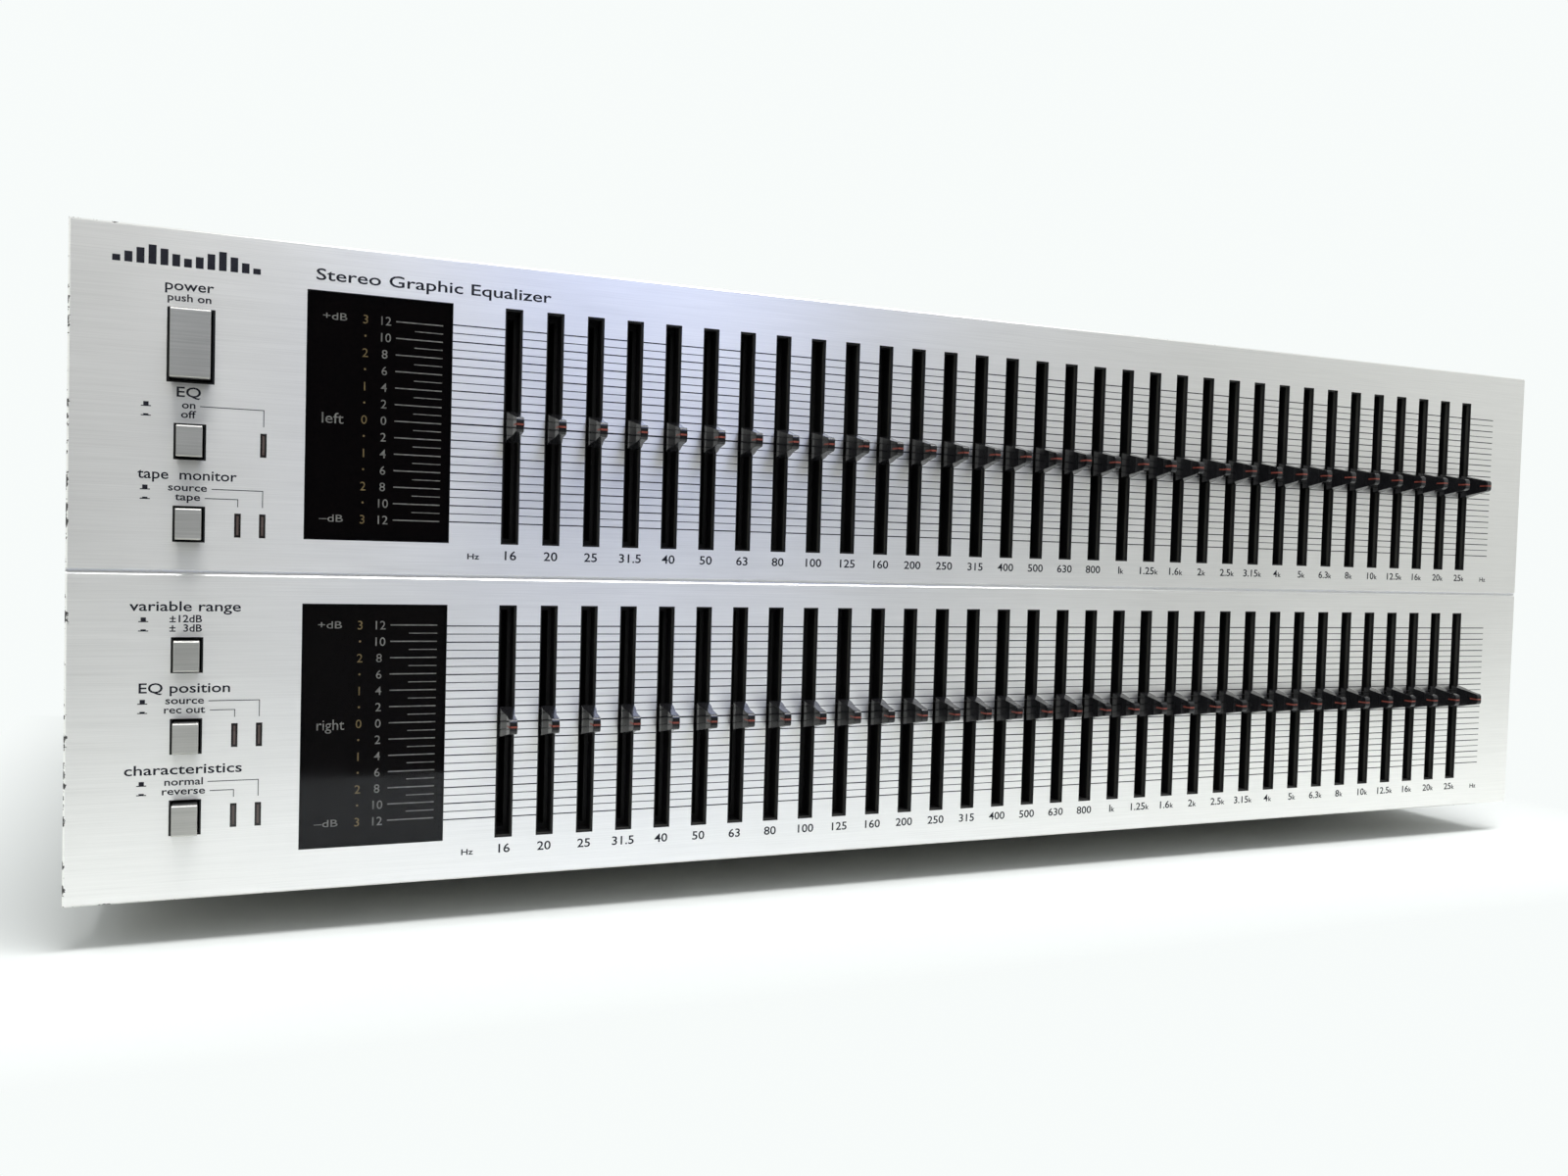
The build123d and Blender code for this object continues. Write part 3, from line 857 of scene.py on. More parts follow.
def middle_of(node: str) -> Vector:
    """The middle of a CAD node's box in millimetres."""
    low, high = span_of(node)
    return (low + high) / 2


def carry(piece: bpy.types.Object, body: str, slot: str, *nodes: str) -> bpy.types.Object:
    """Make a piece ride on a body and hide the CAD nodes that it stands for."""
    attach(piece, body)
    if nodes:
        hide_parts(*nodes)
    return piece


FIXED = "unit"
BANKS = ("scale_window_left", "scale_window_right")
SLIDER_NODES = sorted((n for n in frame["nodes"] if n.startswith("slider_") and n != "slider_boards"),
                      key=lambda n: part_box(n)[0].x)


# ---- front panel --------------------------------------------------------------------------
@dataclass
class FrontPanel:
    """The brushed panel, the black frame behind it and the seven indicator lenses."""

    lens_stripe: float = 0.45
    lens_end: float = 0.5
    stripe_proud: float = 0.02
    stripe_deep: float = 0.3

    def build(self) -> None:
        """Dress the panel and the frame, and make the lenses."""
        ALUMINIUM.dress(frame["nodes"]["front_panel"])
        FRAME_BLACK.dress(frame["nodes"]["front_frame"])
        self.lenses()

    def lenses(self) -> None:
        """Make each lens a dark light guide with a lighter stripe down its middle."""
        made = []
        for low, high in self.lens_boxes():
            body = Bench.soften(Bench.block("lens", low, high), 0.12)
            LENS_BODY.dress(body)
            middle, half = (low.x + high.x) / 2, self.lens_stripe / 2 * MM
            end = self.lens_end * MM
            stripe = Bench.block("stripe", (middle - half, low.y - self.stripe_proud * MM, low.z + end),
                                 (middle + half, low.y + self.stripe_deep * MM, high.z - end))
            LENS_STRIPE.dress(stripe)
            made += [body, stripe]
        carry(Bench.join("indicator_lamps", made), FIXED, "indicator_lens", "indicator_lenses")

    @staticmethod
    def lens_boxes() -> list[tuple[Vector, Vector]]:
        """The box of each lens, from the separate solids of its CAD node."""
        source = Bench.copy(frame["nodes"]["indicator_lenses"], "lens_source")
        source.hide_render = False
        Bench.take(source)
        bpy.ops.object.mode_set(mode="EDIT")
        bpy.ops.mesh.select_all(action="SELECT")
        bpy.ops.mesh.remove_doubles(threshold=1e-6)
        bpy.ops.mesh.separate(type="LOOSE")
        bpy.ops.object.mode_set(mode="OBJECT")
        boxes = []
        for piece in list(bpy.context.selected_objects):
            points = [corner.co.copy() for corner in piece.data.vertices]
            boxes.append((Vector(map(min, *points)), Vector(map(max, *points))))
            Bench.discard(piece)
        return boxes


@dataclass(frozen=True)
class ControlText:
    """The words round one push button. Widths are in millimetres."""

    button: str
    title: str
    title_width: float
    choices: tuple[tuple[str, float], ...] = ()
    lamps: tuple[int, ...] = ()


@dataclass
class PanelPrint:
    """All that is printed on the panel: scale lines, band names, control names, leaders and signs."""

    line_step: float = 1.875
    even_weight: float = 0.26
    odd_weight: float = 0.18
    zero_weight: float = 0.36
    scale_end: float = 14.6
    slot_half: float = 2.06
    band_cap: float = 2.16
    band_drop: float = 31.0
    title_rise: float = 9.45
    choice_rises: tuple[float, float] = (7.05, 5.05)
    title_cap: float = 2.2
    choice_cap: float = 1.62
    leader_weight: float = 0.16
    lamp_shifts: tuple[float, float] = (9.55, 14.5)
    lamp_half: float = 2.6
    lamp_gap: float = 1.4
    sign_shift: float = -8.45
    sign_foot: Span = (0.95, 0.2)
    sign_heights: Span = (1.0, 0.45)
    word_shift: float = -0.3
    leader_start: Span = (0.9, 0.55)
    letter_shift: float = -0.7
    letter_gap: float = 0.15
    letter_share: float = 0.7
    unit_share: float = 0.64
    unit_width: float = 2.7
    unit_shifts: Span = (-8.3, 11.0)
    heading_place: Span = (73.8, 7.73)
    heading_cap: float = 2.6
    heading_width: float = 52.0
    badge_place: Span = (8.0, 8.0)
    badge_bar: float = 1.5
    badge_gap: float = 0.75
    badge_heights: tuple[float, ...] = (1.3, 2.2, 3.2, 4.0, 3.4, 2.5, 1.8, 2.4, 3.3, 4.0, 3.1, 2.1, 1.2)
    power_shift: float = -0.4
    power_lines: tuple[tuple[str, float, float, float], ...] = (
        ("power", 11.45, 2.2, 9.4), ("push on", 9.2, 1.62, 8.4)
    )
    controls: tuple[ControlText, ...] = (
        ControlText("eq_button", "EQ", 4.7, (("on", 2.6), ("off", 2.9)), (1,)),
        ControlText("tape_monitor_button", "tape  monitor", 19.2, (("source", 7.5), ("tape", 4.9)),
                    (1, 0)),
        ControlText("variable_range_button", "variable range", 21.6, (("±12dB", 6.3), ("±  3dB", 6.3))),
        ControlText("eq_position_button", "EQ position", 17.75, (("source", 7.5), ("rec out", 8.0)), (1, 0)),
        ControlText("characteristics_button", "characteristics", 22.9, (("normal", 7.5), ("reverse", 8.4)),
                    (1, 0)),
    )
    pieces: list[bpy.types.Object] = field(default_factory=list)

    def build(self) -> None:
        """Print everything and join it into three pieces."""
        self.press = Press(PANEL_LOW.y / MM - PRINT_PROUD, Facing.FRONT, stretch=1.15)
        self.left, self.top = PANEL_LOW.x / MM, PANEL_HIGH.z / MM
        for window in BANKS:
            self.scale_lines(window)
        self.gather("scale_lines")
        for window in BANKS:
            self.band_names(window)
        self.gather("band_names")
        self.heading()
        self.power_words()
        for control in self.controls:
            self.control_words(control)
        self.gather("control_names")

    def gather(self, name: str) -> None:
        """Join what has been printed since the last time into one piece on the panel."""
        carry(Bench.join(name, self.pieces), FIXED, "brushed_panel")
        self.pieces = []

    def scale_lines(self, window: str) -> None:
        """Rule one bank's lines between its slots, heavier on even decibels and heaviest on nought."""
        zero = middle_of(window).z
        first, last = middle_of(SLIDER_NODES[0]).x, middle_of(SLIDER_NODES[-1]).x
        pitch = (last - first) / (len(SLIDER_NODES) - 1)
        start, end = span_of(window)[1].x + 0.1, PANEL_HIGH.x / MM - self.scale_end
        half = self.slot_half
        between = (first + half, first + pitch - half)
        stretches = [((start, first - half), 1), (between, len(SLIDER_NODES) - 1), ((last + half, end), 1)]
        rows = [(12, 6, self.even_weight), (-2, 6, self.even_weight), (11, 6, self.odd_weight),
                (-1, 6, self.odd_weight), (0, 1, self.zero_weight)]
        for x, copies in stretches:
            for decibels, count, weight in rows:
                line = self.press.stroke(x, zero + decibels * self.line_step, weight, PRINT_BLACK)
                Bench.repeat(line, copies, (pitch * MM, 0, 0))
                self.pieces.append(Bench.repeat(line, count, (0, 0, -2 * self.line_step * MM)))

    def band_names(self, window: str) -> None:
        """Print each band's frequency under its slot, and the unit at both ends."""
        baseline = middle_of(window).z - self.band_drop
        for node in SLIDER_NODES:
            text = node.removeprefix("slider_").replace("_", ".").removesuffix("hz")
            x = middle_of(node).x
            digits = text.removesuffix("k")
            shift = self.letter_shift if text.endswith("k") else 0.0
            number = self.press.words(digits, x + shift, baseline, self.band_cap, PRINT_BLACK)
            self.pieces.append(number)
            if text.endswith("k"):
                edge = max(corner.co.x for corner in number.data.vertices) / MM + self.letter_gap
                cap = self.band_cap * self.letter_share
                self.pieces.append(self.press.words("k", edge, baseline, cap, PRINT_BLACK, Align.LEFT))
        unit_cap = self.band_cap * self.unit_share
        for node, shift in zip((SLIDER_NODES[0], SLIDER_NODES[-1]), self.unit_shifts):
            x = middle_of(node).x + shift
            self.pieces.append(self.press.words("Hz", x, baseline, unit_cap, PRINT_BLACK,
                                                width=self.unit_width))

    def heading(self) -> None:
        """Print the unit's plain name, and a sign of rising and falling bars in the corner."""
        across, down = self.heading_place
        self.pieces.append(self.press.words("Stereo Graphic Equalizer", self.left + across, self.top - down,
                                            self.heading_cap, PRINT_BLACK, width=self.heading_width))
        across, down = self.badge_place
        base = self.top - down
        for number, height in enumerate(self.badge_heights):
            x = self.left + across + number * (self.badge_bar + self.badge_gap)
            self.pieces.append(self.press.bar((x, x + self.badge_bar), (base, base + height), PRINT_BLACK))

    def power_words(self) -> None:
        """Print the power button's two lines."""
        button = middle_of("power_button")
        for text, rise, cap, width in self.power_lines:
            self.pieces.append(self.press.words(text, button.x + self.power_shift, button.z + rise, cap,
                                                PRINT_BLACK, width=width))

    def control_words(self, control: ControlText) -> None:
        """Print a small button's title and choices, its two signs, and leaders to its lamps."""
        button = middle_of(control.button)
        x = button.x + self.word_shift
        gap, rise = self.leader_start
        self.pieces.append(self.press.words(control.title, x, button.z + self.title_rise, self.title_cap,
                                            PRINT_BLACK, width=control.title_width))
        for number, (text, width) in enumerate(control.choices):
            baseline = button.z + self.choice_rises[number]
            self.pieces.append(self.press.words(text, x, baseline, self.choice_cap, PRINT_BLACK, width=width))
            if control.lamps[number:]:
                self.leader(button, x + width / 2 + gap, baseline + rise, control.lamps[number])
        self.signs(button)

    def leader(self, button: Vector, start: float, height: float, column: int) -> None:
        """Rule a line from a choice across to its lamp and down to just above it."""
        x = button.x + self.lamp_shifts[column]
        half = self.leader_weight / 2
        foot = button.z + self.lamp_half + self.lamp_gap
        self.pieces.append(self.press.stroke((start, x + half), height, self.leader_weight, PRINT_BLACK))
        self.pieces.append(self.press.upright(x, (foot, height - half), self.leader_weight, PRINT_BLACK))

    def signs(self, button: Vector) -> None:
        """Print the signs of a button that stands out and of one that is pushed in."""
        x = button.x + self.sign_shift
        half, thick = self.sign_foot
        cap_half = 0.5
        for rise, height in zip(self.choice_rises, self.sign_heights):
            base = button.z + rise
            foot = base + thick
            self.pieces.append(self.press.bar((x - half, x + half), (base, foot), PRINT_BLACK))
            ends = (foot, base + height)
            self.pieces.append(self.press.bar((x - cap_half, x + cap_half), ends, PRINT_BLACK))


# ---- scale windows ------------------------------------------------------------------------
@dataclass
class ScaleWindow:
    """One smoked window: a clear plate with its scale printed on the back over black."""

    node: str
    name: str
    corner: float = 0.15
    line_step: float = 1.875
    sign_x: float = 3.2
    gold_x: float = 12.4
    grey_x: float = 16.6
    long_tick: Span = (19.0, 29.4)
    short_tick: Span = (23.1, 29.4)
    tick_weights: Span = (0.26, 0.2)
    digit_cap: float = 2.05
    dot_r: float = 0.24
    back_inset: float = 0.02
    back_deep: float = 0.1
    print_deep: float = 0.13
    ink_gain: float = 0.004
    unit_cap: float = 1.7
    unit_drop: float = 0.8
    unit_width: float = 5.1
    name_cap: float = 2.5
    name_drop: float = 1.3
    name_widths: tuple[tuple[str, float], ...] = (("left", 4.6), ("right", 5.9))

    def build(self) -> None:
        """Make the plate, its black back and its print."""
        low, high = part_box(self.node)
        plate = Bench.soften(Bench.block(f"{self.node}_plate", low, high), self.corner)
        SMOKED.dress(plate)
        carry(plate, FIXED, "smoked_acrylic", self.node)
        inset = self.back_inset * MM
        back = Bench.block(f"{self.node}_back", (low.x + inset, high.y - self.back_deep * MM, low.z + inset),
                           (high.x - inset, high.y - inset, high.z - inset))
        WINDOW_BACK.dress(back)
        carry(back, FIXED, "black_frame")
        self.print_scale(low / MM, high / MM)

    def print_scale(self, low: Vector, high: Vector) -> None:
        """Print ticks, both rows of numbers, the signs and the channel's name on the plate's back."""
        press = Press(high.y - self.print_deep, Facing.FRONT, ink_gain=self.ink_gain)
        zero = (low.z + high.z) / 2
        made = []
        for decibels in range(-12, 13):
            height = zero + decibels * self.line_step
            even = decibels % 2 == 0
            ends = self.long_tick if even else self.short_tick
            weight = self.tick_weights[0 if even else 1]
            made.append(press.stroke((low.x + ends[0], low.x + ends[1]), height, weight, PRINT_GREY))
            if even:
                baseline = height - self.digit_cap / 2
                made.append(press.words(str(abs(decibels)), low.x + self.grey_x, baseline, self.digit_cap,
                                        PRINT_GREY))
                made += self.gold_mark(press, low.x + self.gold_x, height, decibels)
        for decibels, text in ((12, "+dB"), (-12, "–dB")):
            baseline = zero + decibels * self.line_step - self.unit_drop
            made.append(press.words(text, low.x + self.sign_x, baseline, self.unit_cap, PRINT_GREY,
                                    Align.LEFT, self.unit_width))
        made.append(press.words(self.name, low.x + self.sign_x, zero - self.name_drop, self.name_cap,
                                PRINT_GREY, Align.LEFT, dict(self.name_widths)[self.name]))
        carry(Bench.join(f"{self.node}_print", made), FIXED, "smoked_acrylic")

    def gold_mark(self, press: Press, x: float, height: float, decibels: int) -> list[bpy.types.Object]:
        """Print the narrow range's number beside every fourth decibel, and a dot beside other even ones."""
        if decibels % 4 == 0:
            text = str(abs(decibels) // 4)
            return [press.words(text, x, height - self.digit_cap / 2, self.digit_cap, PRINT_GOLD)]
        dot = Bench.drum("dot", (x * MM, press.face_y * MM, height * MM), self.dot_r * MM, press.film * MM,
                         Along.Y, 12)
        PRINT_GOLD.dress(dot)
        return [dot]


# ---- sliders ------------------------------------------------------------------------------
@dataclass
class Sliders:
    """Every slider's knob, with its coloured line, on its lever.

    A section of the knob is how far it is from the panel's face, how wide it is and how tall it is.
    """

    sections: tuple[Triple, ...] = (
        (0.5, 3.2, 7.1), (2.5, 3.2, 6.2), (6.0, 1.9, 4.6), (8.2, 1.9, 3.7), (9.7, 1.8, 3.2)
    )
    line_back: float = 7.0
    line_height: float = 0.42
    line_proud: float = 0.03
    tip_edge: float = 0.7
    edge: float = 0.28
    skin: float = 0.1
    lever: Span = (1.4, 4.0)
    lever_reach: float = 0.5

    def build(self) -> None:
        """Make one slider at the origin and copy it to both banks of every band."""
        pattern = self.pattern()
        face = PANEL_LOW.y
        heights = [middle_of(bank).z * MM for bank in BANKS]
        for node in SLIDER_NODES:
            x = middle_of(node).x * MM
            pair = [Bench.copy(pattern, "half", (x, face, height)) for height in heights]
            carry(Bench.join(f"{node}_knobs", pair), node, "slider_plastic", node)
        Bench.discard(pattern)

    def pattern(self) -> bpy.types.Object:
        """One slider whose lever meets the panel's face at the origin, and which looks to the front."""
        knob = self.knob()
        KNOB_BLACK.dress(knob)
        line = self.line()
        KNOB_LINE.dress(line)
        half_w, half_h = (size / 2 * MM for size in self.lever)
        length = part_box(SLIDER_NODES[0])[1].y - PANEL_LOW.y
        root = -(self.sections[0][0] + self.lever_reach) * MM
        lever = Bench.block("lever", (-half_w, root, -half_h), (half_w, length, half_h))
        Bench.soften(lever, 0.1, 1)
        LEVER_STEEL.dress(lever)
        return Bench.join("slider_pattern", [knob, line, lever])

    def knob(self) -> bpy.types.Object:
        """Draw a thin base out through the knob's sections, and round its tip and its edges."""
        at, wide, tall = self.sections[0]
        knob = Bench.block("knob", (-wide / 2 * MM, -(at + self.skin) * MM, -tall / 2 * MM),
                           (wide / 2 * MM, -at * MM, tall / 2 * MM))
        Bench.pick_faces(knob, lambda middle, normal: normal.y < -0.9)
        at += self.skin
        for ahead, next_wide, next_tall in self.sections[1:]:
            Bench.draw_out((0, -(ahead - at) * MM, 0))
            bpy.ops.transform.resize(value=(next_wide / wide, 1, next_tall / tall))
            at, wide, tall = ahead, next_wide, next_tall
        Bench.close()
        tip = -(at - 0.01) * MM
        Bench.pick_edges(knob, lambda a, b: a.y < tip and b.y < tip and abs(a.z - b.z) < 1e-6)
        bpy.ops.mesh.bevel(offset=self.tip_edge * MM, segments=3, affect="EDGES")
        Bench.close()
        Bench.soften(knob, self.edge)
        creases = [-ahead * MM for ahead, _, _ in self.sections[1:3]]
        Bench.pick_edges(
            knob, lambda a, b: any(abs(a.y - y) < 2e-5 and abs(b.y - y) < 2e-5 for y in creases)
        )
        bpy.ops.mesh.mark_sharp()
        Bench.close()
        return Bench.flatten(knob)

    def line(self) -> bpy.types.Object:
        """A thin coloured strip laid round the nose at the middle of its height."""
        reach = self.sections[-1][0]
        half_w = (self.sections[-2][1] / 2 + self.line_proud) * MM
        half_h = self.line_height / 2 * MM
        strip = Bench.block("line", (-half_w, -(reach + self.line_proud) * MM, -half_h),
                            (half_w, -self.line_back * MM, half_h))
        tip = -(reach - 0.1) * MM
        Bench.pick_edges(strip, lambda a, b: a.y < tip and b.y < tip and abs(a.x - b.x) < 1e-6)
        bpy.ops.mesh.bevel(offset=self.edge * MM, segments=2, affect="EDGES")
        Bench.close()
        return strip


# ---- push buttons -------------------------------------------------------------------------
@dataclass
class PushButton:
    """A black plunger with a bright plate, rounded over at its top and bottom, on its front."""

    node: str
    plate: float = 1.1
    fold: float = 0.42
    shy: float = 0.08
    cap_depth: float = 3.0
    plunger_half: float = 1.5

    def build(self) -> None:
        """Make the plate and the body behind it, and join them."""
        low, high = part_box(self.node)
        plate_back = low.y + self.plate * MM
        plate = Bench.block("plate", low, (high.x, plate_back, high.z))
        front = low.y + 1e-5
        Bench.pick_edges(plate, lambda a, b: a.y < front and b.y < front and abs(a.z - b.z) < 1e-6)
        bpy.ops.mesh.bevel(offset=self.fold * MM, segments=4, affect="EDGES")
        Bench.close()
        BUTTON_PLATE.dress(Bench.soften(plate, 0.06, 1))
        parts = [plate, self.body(low, high, plate_back)]
        piece = Bench.join(f"{self.node}_cap", parts)
        carry(piece, self.node, "button_metal", self.node)

    def body(self, low: Vector, high: Vector, front: float) -> bpy.types.Object:
        """The black cap behind the plate, drawn out at its back into the plunger."""
        shy = self.shy * MM
        cap_back = PANEL_HIGH.y + self.cap_depth * MM
        body = Bench.block("body", (low.x + shy, front, low.z + shy), (high.x - shy, cap_back, high.z - shy))
        Bench.pick_faces(body, lambda middle, normal: normal.y > 0.9)
        narrow = min(high.x - low.x, high.z - low.z) / 2
        bpy.ops.mesh.inset(thickness=narrow - self.plunger_half * MM - shy)
        Bench.draw_out((0, high.y - cap_back, 0))
        Bench.close()
        BUTTON_BODY.dress(Bench.soften(body, 0.08, 1))
        return body


# ---- case ---------------------------------------------------------------------------------
@dataclass
class Case:
    """Cover, chassis, rear panel with its print, feet and screws."""

    foot_top_r: float = 19.0
    foot_base_r: float = 16.0
    foot_rim: float = 8.0
    foot_step: float = 0.6
    recess_ledge: float = 3.2
    recess_roof: float = 4.6
    ring_r: float = 14.6
    ring_wide: float = 5.2
    ring_thick: float = 1.0
    letter_cap: float = 2.6
    frame_half: float = 9.3
    frame_weight: float = 0.3
    frame_rises: Span = (9.0, 8.6)
    name_rise: float = 10.0
    letter_out: float = 13.5
    letter_drop: float = 1.3
    cord_rise: float = 12.5

    def build(self) -> None:
        """Dress the sheet metal and make the feet and the rear print."""
        nodes = frame["nodes"]
        COVER_PAINT.dress(nodes["top_cover"])
        ZINC.dress(nodes["base_chassis"])
        REAR_PAINT.dress(nodes["rear_panel"])
        BLACK_OXIDE.dress(nodes["screws"])
        self.feet()
        self.rear_print()

    def feet(self) -> None:
        """Make one foot with a rounded skirt and a rubber ring, and copy it to each corner."""
        low, high = span_of("feet")
        top_r, height = self.foot_top_r, high.z
        foot = Bench.drum("foot", (0, 0, height / 2 * MM), top_r * MM, height * MM, Along.Z, 64)
        Bench.pick_faces(foot, lambda middle, normal: normal.z < -0.9)
        bpy.ops.transform.resize(value=(self.foot_base_r / top_r, self.foot_base_r / top_r, 1))
        bpy.ops.mesh.inset(thickness=self.foot_rim * MM)
        Bench.draw_out((0, 0, self.foot_step * MM))
        bpy.ops.mesh.inset(thickness=self.recess_ledge * MM)
        Bench.draw_out((0, 0, (height - self.recess_roof) * MM))
        Bench.close()
        FOOT_BLACK.dress(Bench.soften(foot, 0.5, 3))
        ring = Bench.drum("ring", (0, 0, self.ring_thick / 2 * MM), self.ring_r * MM, self.ring_thick * MM,
                          Along.Z, 64)
        Bench.pick_faces(ring, lambda middle, normal: abs(normal.z) > 0.9)
        bpy.ops.mesh.inset(thickness=self.ring_wide * MM)
        bpy.ops.mesh.delete(type="FACE")
        Bench.close()
        slack = 0.2
        hole = (self.ring_r - self.ring_wide + slack) * MM
        Bench.pick_edges(ring, lambda a, b: max(a.xy.length, b.xy.length) < hole)
        bpy.ops.mesh.bridge_edge_loops()
        Bench.close()
        FOOT_RUBBER.dress(Bench.soften(ring, 0.2, 2))
        pattern = Bench.join("foot_pattern", [foot, ring])
        xs = (low.x + top_r, high.x - top_r)
        ys = (low.y + top_r, high.y - top_r)
        made = [Bench.copy(pattern, "foot", (x * MM, y * MM, 0)) for x in xs for y in ys]
        Bench.discard(pattern)
        carry(Bench.join("case_feet", made), FIXED, "foot_plastic", "feet")

    def rear_print(self) -> None:
        """Print plain names and a frame line round each pair of sockets."""
        press = Press(REAR_HIGH.y / MM + PRINT_PROUD, Facing.BACK)
        mounts = {m["name"]: Vector(m["pos_m"]) / MM for m in frame["record"]["mounts"]}
        made = []
        for stem, text in (("tape_rec", "rec out"), ("tape_play", "play in"), ("line_in", "line in"),
                           ("line_out", "line out")):
            left, right = mounts[f"{stem}_left"], mounts[f"{stem}_right"]
            made.append(press.words(text, left.x, left.z + self.name_rise, self.letter_cap, PRINT_WHITE))
            ends = (right.z - self.frame_rises[0], left.z + self.frame_rises[1])
            for x in (left.x - self.frame_half, left.x + self.frame_half):
                made.append(press.upright(x, ends, self.frame_weight, PRINT_WHITE))
            half = self.frame_half - self.frame_weight / 2
            sides = (left.x - half, left.x + half)
            for height in ends:
                made.append(press.stroke(sides, height, self.frame_weight, PRINT_WHITE))
        edge = max(place.x for name, place in mounts.items() if name.startswith("line_out")) + self.letter_out
        for letter, name in (("L", "line_out_left"), ("R", "line_out_right")):
            baseline = mounts[name].z - self.letter_drop
            made.append(press.words(letter, edge, baseline, self.letter_cap, PRINT_WHITE))
        cord = mounts["mains_cord_bore"]
        made.append(press.words("AC", cord.x, cord.z + self.cord_rise, self.letter_cap, PRINT_WHITE))
        carry(Bench.join("rear_names", made), FIXED, "rear_paint")


@dataclass
class Sockets:
    """The eight phono sockets and the mains cord's gland on the rear panel."""

    barrel_r: float = 4.15
    barrel: float = 10.0
    rim: float = 0.45
    floor: float = 1.5
    core_r: float = 3.3
    core_shy: float = 0.4
    core_short: float = 2.2
    bore_r: float = 1.6
    bore_deep: float = 5.0
    collar_r: float = 6.5
    collar: float = 1.0
    block_half: float = 7.0
    block_span: Span = (-13.2, -1.2)
    neck: float = 1.3

    def build(self) -> None:
        """Make one socket of each colour, copy them to their places, and dress the gland."""
        patterns = {"left": self.socket(SOCKET_WHITE), "right": self.socket(SOCKET_RED)}
        made = []
        for mount in frame["record"]["mounts"]:
            side = mount["name"].rsplit("_", 1)[-1]
            if mount["kind"] == "pin" and side in patterns:
                x, _, z = mount["pos_m"]
                made.append(Bench.copy(patterns[side], "socket", (x, REAR_HIGH.y, z)))
        for pattern in patterns.values():
            Bench.discard(pattern)
        carry(Bench.join("rear_sockets", made), FIXED, "socket_metal", "phono_sockets")
        GLAND_BLACK.dress(frame["nodes"]["mains_cord_gland"])

    @staticmethod
    def drum(name: str, middle: float, radius: float, length: float) -> bpy.types.Object:
        """A cylinder on the socket's own axis, with its sizes and its middle in millimetres."""
        return Bench.drum(name, (0, middle * MM, 0), radius * MM, length * MM, Along.Y)

    def socket(self, colour: Finish) -> bpy.types.Object:
        """A nickel barrel with a rolled rim round a coloured core, on a collar and a block."""
        barrel = self.drum("barrel", self.barrel / 2, self.barrel_r, self.barrel)
        Bench.pick_faces(barrel, lambda middle, normal: normal.y > 0.9)
        bpy.ops.mesh.inset(thickness=self.rim * MM)
        Bench.draw_out((0, -(self.barrel - self.floor) * MM, 0))
        Bench.close()
        NICKEL.dress(Bench.soften(barrel, 0.12, 2))
        core = self.drum("core", self.barrel / 2 + self.core_shy, self.core_r, self.barrel - self.core_short)
        Bench.pick_faces(core, lambda middle, normal: normal.y > 0.9)
        bpy.ops.mesh.inset(thickness=(self.core_r - self.bore_r) * MM)
        Bench.draw_out((0, -self.bore_deep * MM, 0))
        Bench.close()
        colour.dress(Bench.soften(core, 0.15, 2))
        collar = self.drum("collar", self.collar / 2, self.collar_r, self.collar)
        colour.dress(Bench.soften(collar, 0.3, 2))
        half, (back, front) = self.block_half * MM, (end * MM for end in self.block_span)
        block = Bench.block("block", (-half, back, -half), (half, front, half))
        CASE_BLACK.dress(Bench.soften(block, 0.4, 2))
        neck = self.drum("neck", self.block_span[1] / 2, self.barrel_r, self.neck)
        CASE_BLACK.dress(neck)
        return Bench.join("socket_pattern", [barrel, core, collar, block, neck])


@dataclass
class Inside:
    """The boards, potentiometers, switches, components and transformer."""

    finishes: tuple[tuple[str, Finish], ...] = (
        ("slide_pots_left", CASE_BLACK),
        ("slide_pots_right", CASE_BLACK),
        ("push_switches", CASE_BLACK),
        ("slider_boards", PHENOLIC),
        ("switch_board", PHENOLIC),
        ("main_board", PHENOLIC),
        ("board_components", COMPONENT),
        ("transformer_core", LAMINATION),
        ("transformer_coil", WINDING),
    )

    def build(self) -> None:
        """Dress each inner CAD node."""
        for node, finish in self.finishes:
            finish.dress(frame["nodes"][node])


# ---- studio -------------------------------------------------------------------------------
@dataclass(frozen=True)
class SoftBox:
    """A rectangular studio light. Places are in metres."""

    name: str
    place: Triple
    target: Triple
    size: Span
    watts: float
    colour: Colour = (1.0, 1.0, 1.0)
    whole: bool = True

    def build(self) -> None:
        """Hang the light and turn it to its target. One that isn't whole lights no matt surface."""
        lamp = bpy.data.lights.new(self.name, "AREA")
        lamp.shape = "RECTANGLE"
        lamp.size, lamp.size_y = self.size
        lamp.energy = self.watts
        lamp.color = self.colour
        hung = bpy.data.objects.new(self.name, lamp)
        hung.location = self.place
        hung.visible_diffuse = self.whole
        look = Vector(self.target) - Vector(self.place)
        hung.rotation_euler = look.to_track_quat("-Z", "Y").to_euler()
        bpy.context.scene.collection.objects.link(hung)


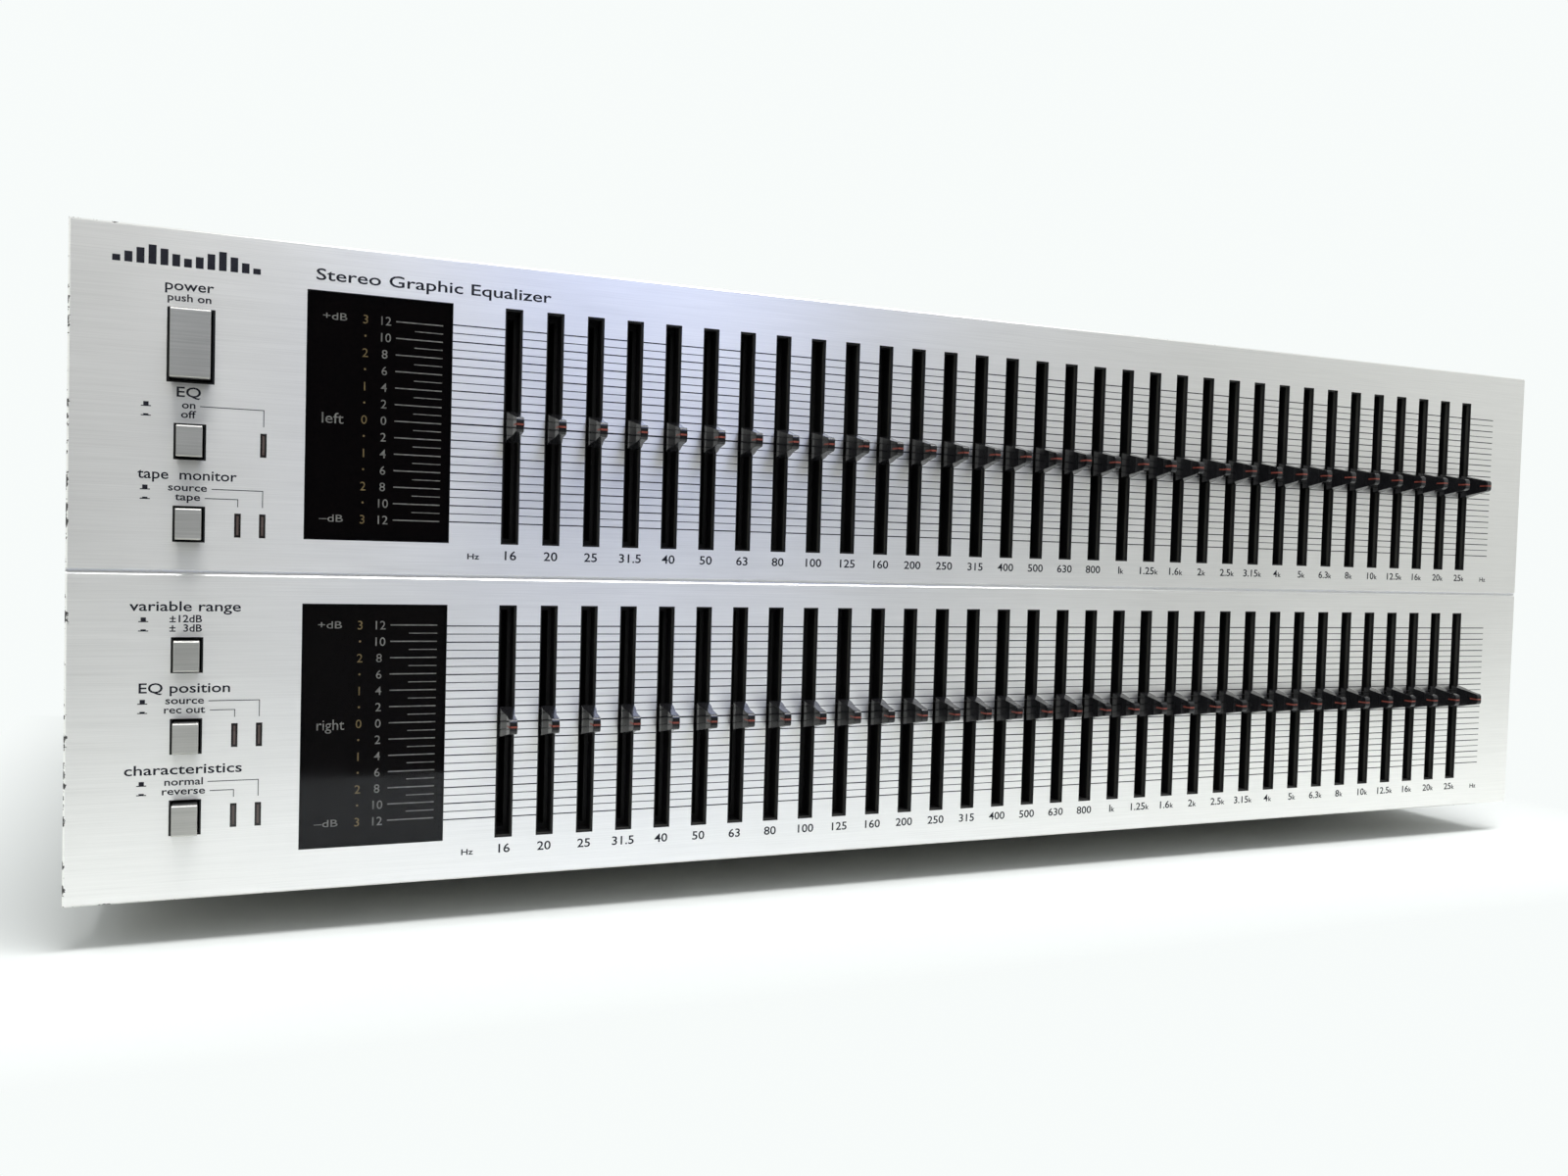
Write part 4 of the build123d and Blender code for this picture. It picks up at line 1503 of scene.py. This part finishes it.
@dataclass
class Studio:
    """Pale floor, soft light and the camera.

    The eye is how far the camera is right of the panel's lower left corner, in front of it and above it.
    """

    eye: Triple = (34.0, 300.0, 80.0)
    pan: float = 23.0
    tilt: float = -1.93
    roll: float = 1.67
    lens: float = 29.25
    sensor: float = 36.0
    floor_size: float = 14.0
    floor_shades: tuple[Colour, Colour] = ((0.66, 0.68, 0.67), (0.69, 0.71, 0.70))
    cloud_size: float = 400.0
    front_edge: float = -0.351
    front_shade: Colour = (0.05, 0.05, 0.05)
    fade: float = 0.06
    backdrop: Colour = (0.935, 0.968, 0.958)
    front_width: Span = (0.6, 0.93)
    front_height: Span = (0.18, 0.34)
    front_dark: Colour = (0.06, 0.06, 0.07)
    wall_height: Span = (0.2, 0.9)
    walls: tuple[Colour, Colour] = ((0.95, 0.97, 0.95), (0.70, 0.72, 0.72))
    lights: tuple[SoftBox, ...] = (
        SoftBox("ceiling_box", (0.2, -0.6, 1.5), (0.1, -0.1, 0.0), (1.4, 0.4), 28.0),
        SoftBox("blue_box", (0.32, -1.3, 1.0), (-0.05, -0.16, 0.1), (0.5, 0.5), 2.6, (0.22, 0.36, 1.0),
                False),
    )

    def build(self) -> None:
        """Lay the floor, light it and set the camera."""
        self.floor()
        self.sky()
        for light in self.lights:
            light.build()
        self.camera()
        bpy.context.scene.view_settings.view_transform = "Standard"

    def floor(self) -> None:
        """Lay a wide pale floor.

        The camera sees it fade into the backdrop round the unit. Mirrors see it go dark in front of the unit.
        """
        Bench.clear()
        bpy.ops.mesh.primitive_plane_add(size=self.floor_size)
        floor = bpy.context.object
        floor.name = "studio_floor"
        made = bpy.data.materials.new("studio_floor")
        made.use_nodes = True
        canvas = Canvas(made.node_tree)
        place = canvas.place()
        clouds = canvas.effect(Effects.clouds(), place=place, size=self.cloud_size)
        reach = tuple(max(-low, high) for low, high in zip(*CAD_BOX))
        beyond = canvas.vector("SUBTRACT", canvas.vector("ABSOLUTE", place), reach)
        x, y, _ = canvas.axes(beyond)
        away = canvas.maths("MAXIMUM", x, y)
        shade = canvas.blend(canvas.spread(clouds, *NOISE), *self.floor_shades)
        before = canvas.maths("LESS_THAN", canvas.axes(place)[1], self.front_edge)
        rays = canvas.add("LightPath").outputs
        mirrored = canvas.maths("MULTIPLY", before, rays["Is Glossy Ray"])
        shade = canvas.blend(mirrored, shade, self.front_shade)
        inputs = {"Base Color": shade, "Roughness": 0.6, "Specular IOR Level": 0.2}
        shader = canvas.add("BsdfPrincipled", inputs)
        far = canvas.add("Emission", {"Color": self.backdrop}).outputs[0]
        fade = canvas.maths("MULTIPLY", canvas.spread(away, 0.0, self.fade), rays["Is Camera Ray"])
        seen = canvas.add("MixShader", {0: fade, 1: shader.outputs[0], 2: far}).outputs[0]
        canvas.feed(canvas.add("OutputMaterial").inputs["Surface"], seen)
        floor.data.materials.append(made)

    def sky(self) -> None:
        """A pale room, dark in front where the way out is near level. The camera sees only the backdrop."""
        world = bpy.data.worlds.new("studio_room")
        bpy.context.scene.world = world
        world.use_nodes = True
        canvas = Canvas(world.node_tree)
        _, back, up = canvas.axes(canvas.add("TexCoord").outputs["Generated"])
        front = canvas.spread(canvas.maths("MULTIPLY", back, -1.0), *self.front_width)
        level = canvas.spread(canvas.maths("ABSOLUTE", up), *self.front_height, 1.0, 0.0)
        walls = canvas.blend(canvas.spread(up, *self.wall_height), *self.walls)
        room = canvas.blend(canvas.maths("MULTIPLY", front, level), walls, self.front_dark)
        seen = canvas.add("LightPath").outputs["Is Camera Ray"]
        colour = canvas.blend(seen, room, self.backdrop)
        light = canvas.add("Background", {"Color": colour, "Strength": 1.0})
        canvas.feed(canvas.add("OutputWorld").inputs["Surface"], light.outputs[0])

    def camera(self) -> None:
        """Stand the camera in front of the panel, near its left end, and turn it to the right."""
        x, away, height = self.eye
        place = Vector((PANEL_LOW.x + x * MM, PANEL_LOW.y - away * MM, PANEL_LOW.z + height * MM))
        pan, tilt, roll = (math.radians(angle) for angle in (self.pan, self.tilt, self.roll))
        ahead = Vector((math.sin(pan) * math.cos(tilt), math.cos(pan) * math.cos(tilt), math.sin(tilt)))
        level = Vector((math.cos(pan), -math.sin(pan), 0))
        upright = level.cross(ahead)
        right = level * math.cos(roll) + upright * math.sin(roll)
        up = upright * math.cos(roll) - level * math.sin(roll)
        turn = Matrix((right, up, -ahead)).transposed().to_4x4()
        lens = bpy.data.cameras.new("studio_camera")
        lens.lens, lens.sensor_width = self.lens, self.sensor
        lens.clip_start, lens.clip_end = 0.01, 60.0
        camera = bpy.data.objects.new("studio_camera", lens)
        camera.matrix_world = Matrix.Translation(place) @ turn
        bpy.context.scene.collection.objects.link(camera)
        bpy.context.scene.camera = camera


def main() -> None:
    """Build the studio and every sub-assembly in order, and report each one."""
    logging.basicConfig(level=logging.INFO, format="%(name)s: %(message)s")
    buttons = [PushButton(node) for node in frame["nodes"] if node.endswith("_button")]
    windows = [ScaleWindow(node, name) for node, name in zip(BANKS, ("left", "right"))]
    stages = [Studio(), FrontPanel(), PanelPrint(), *windows, Sliders(), *buttons, Case(), Sockets(),
              Inside()]
    for stage in stages:
        stage.build()
        LOG.info("built %s %s", type(stage).__name__, getattr(stage, "node", ""))


if __name__ == "__main__":
    main()
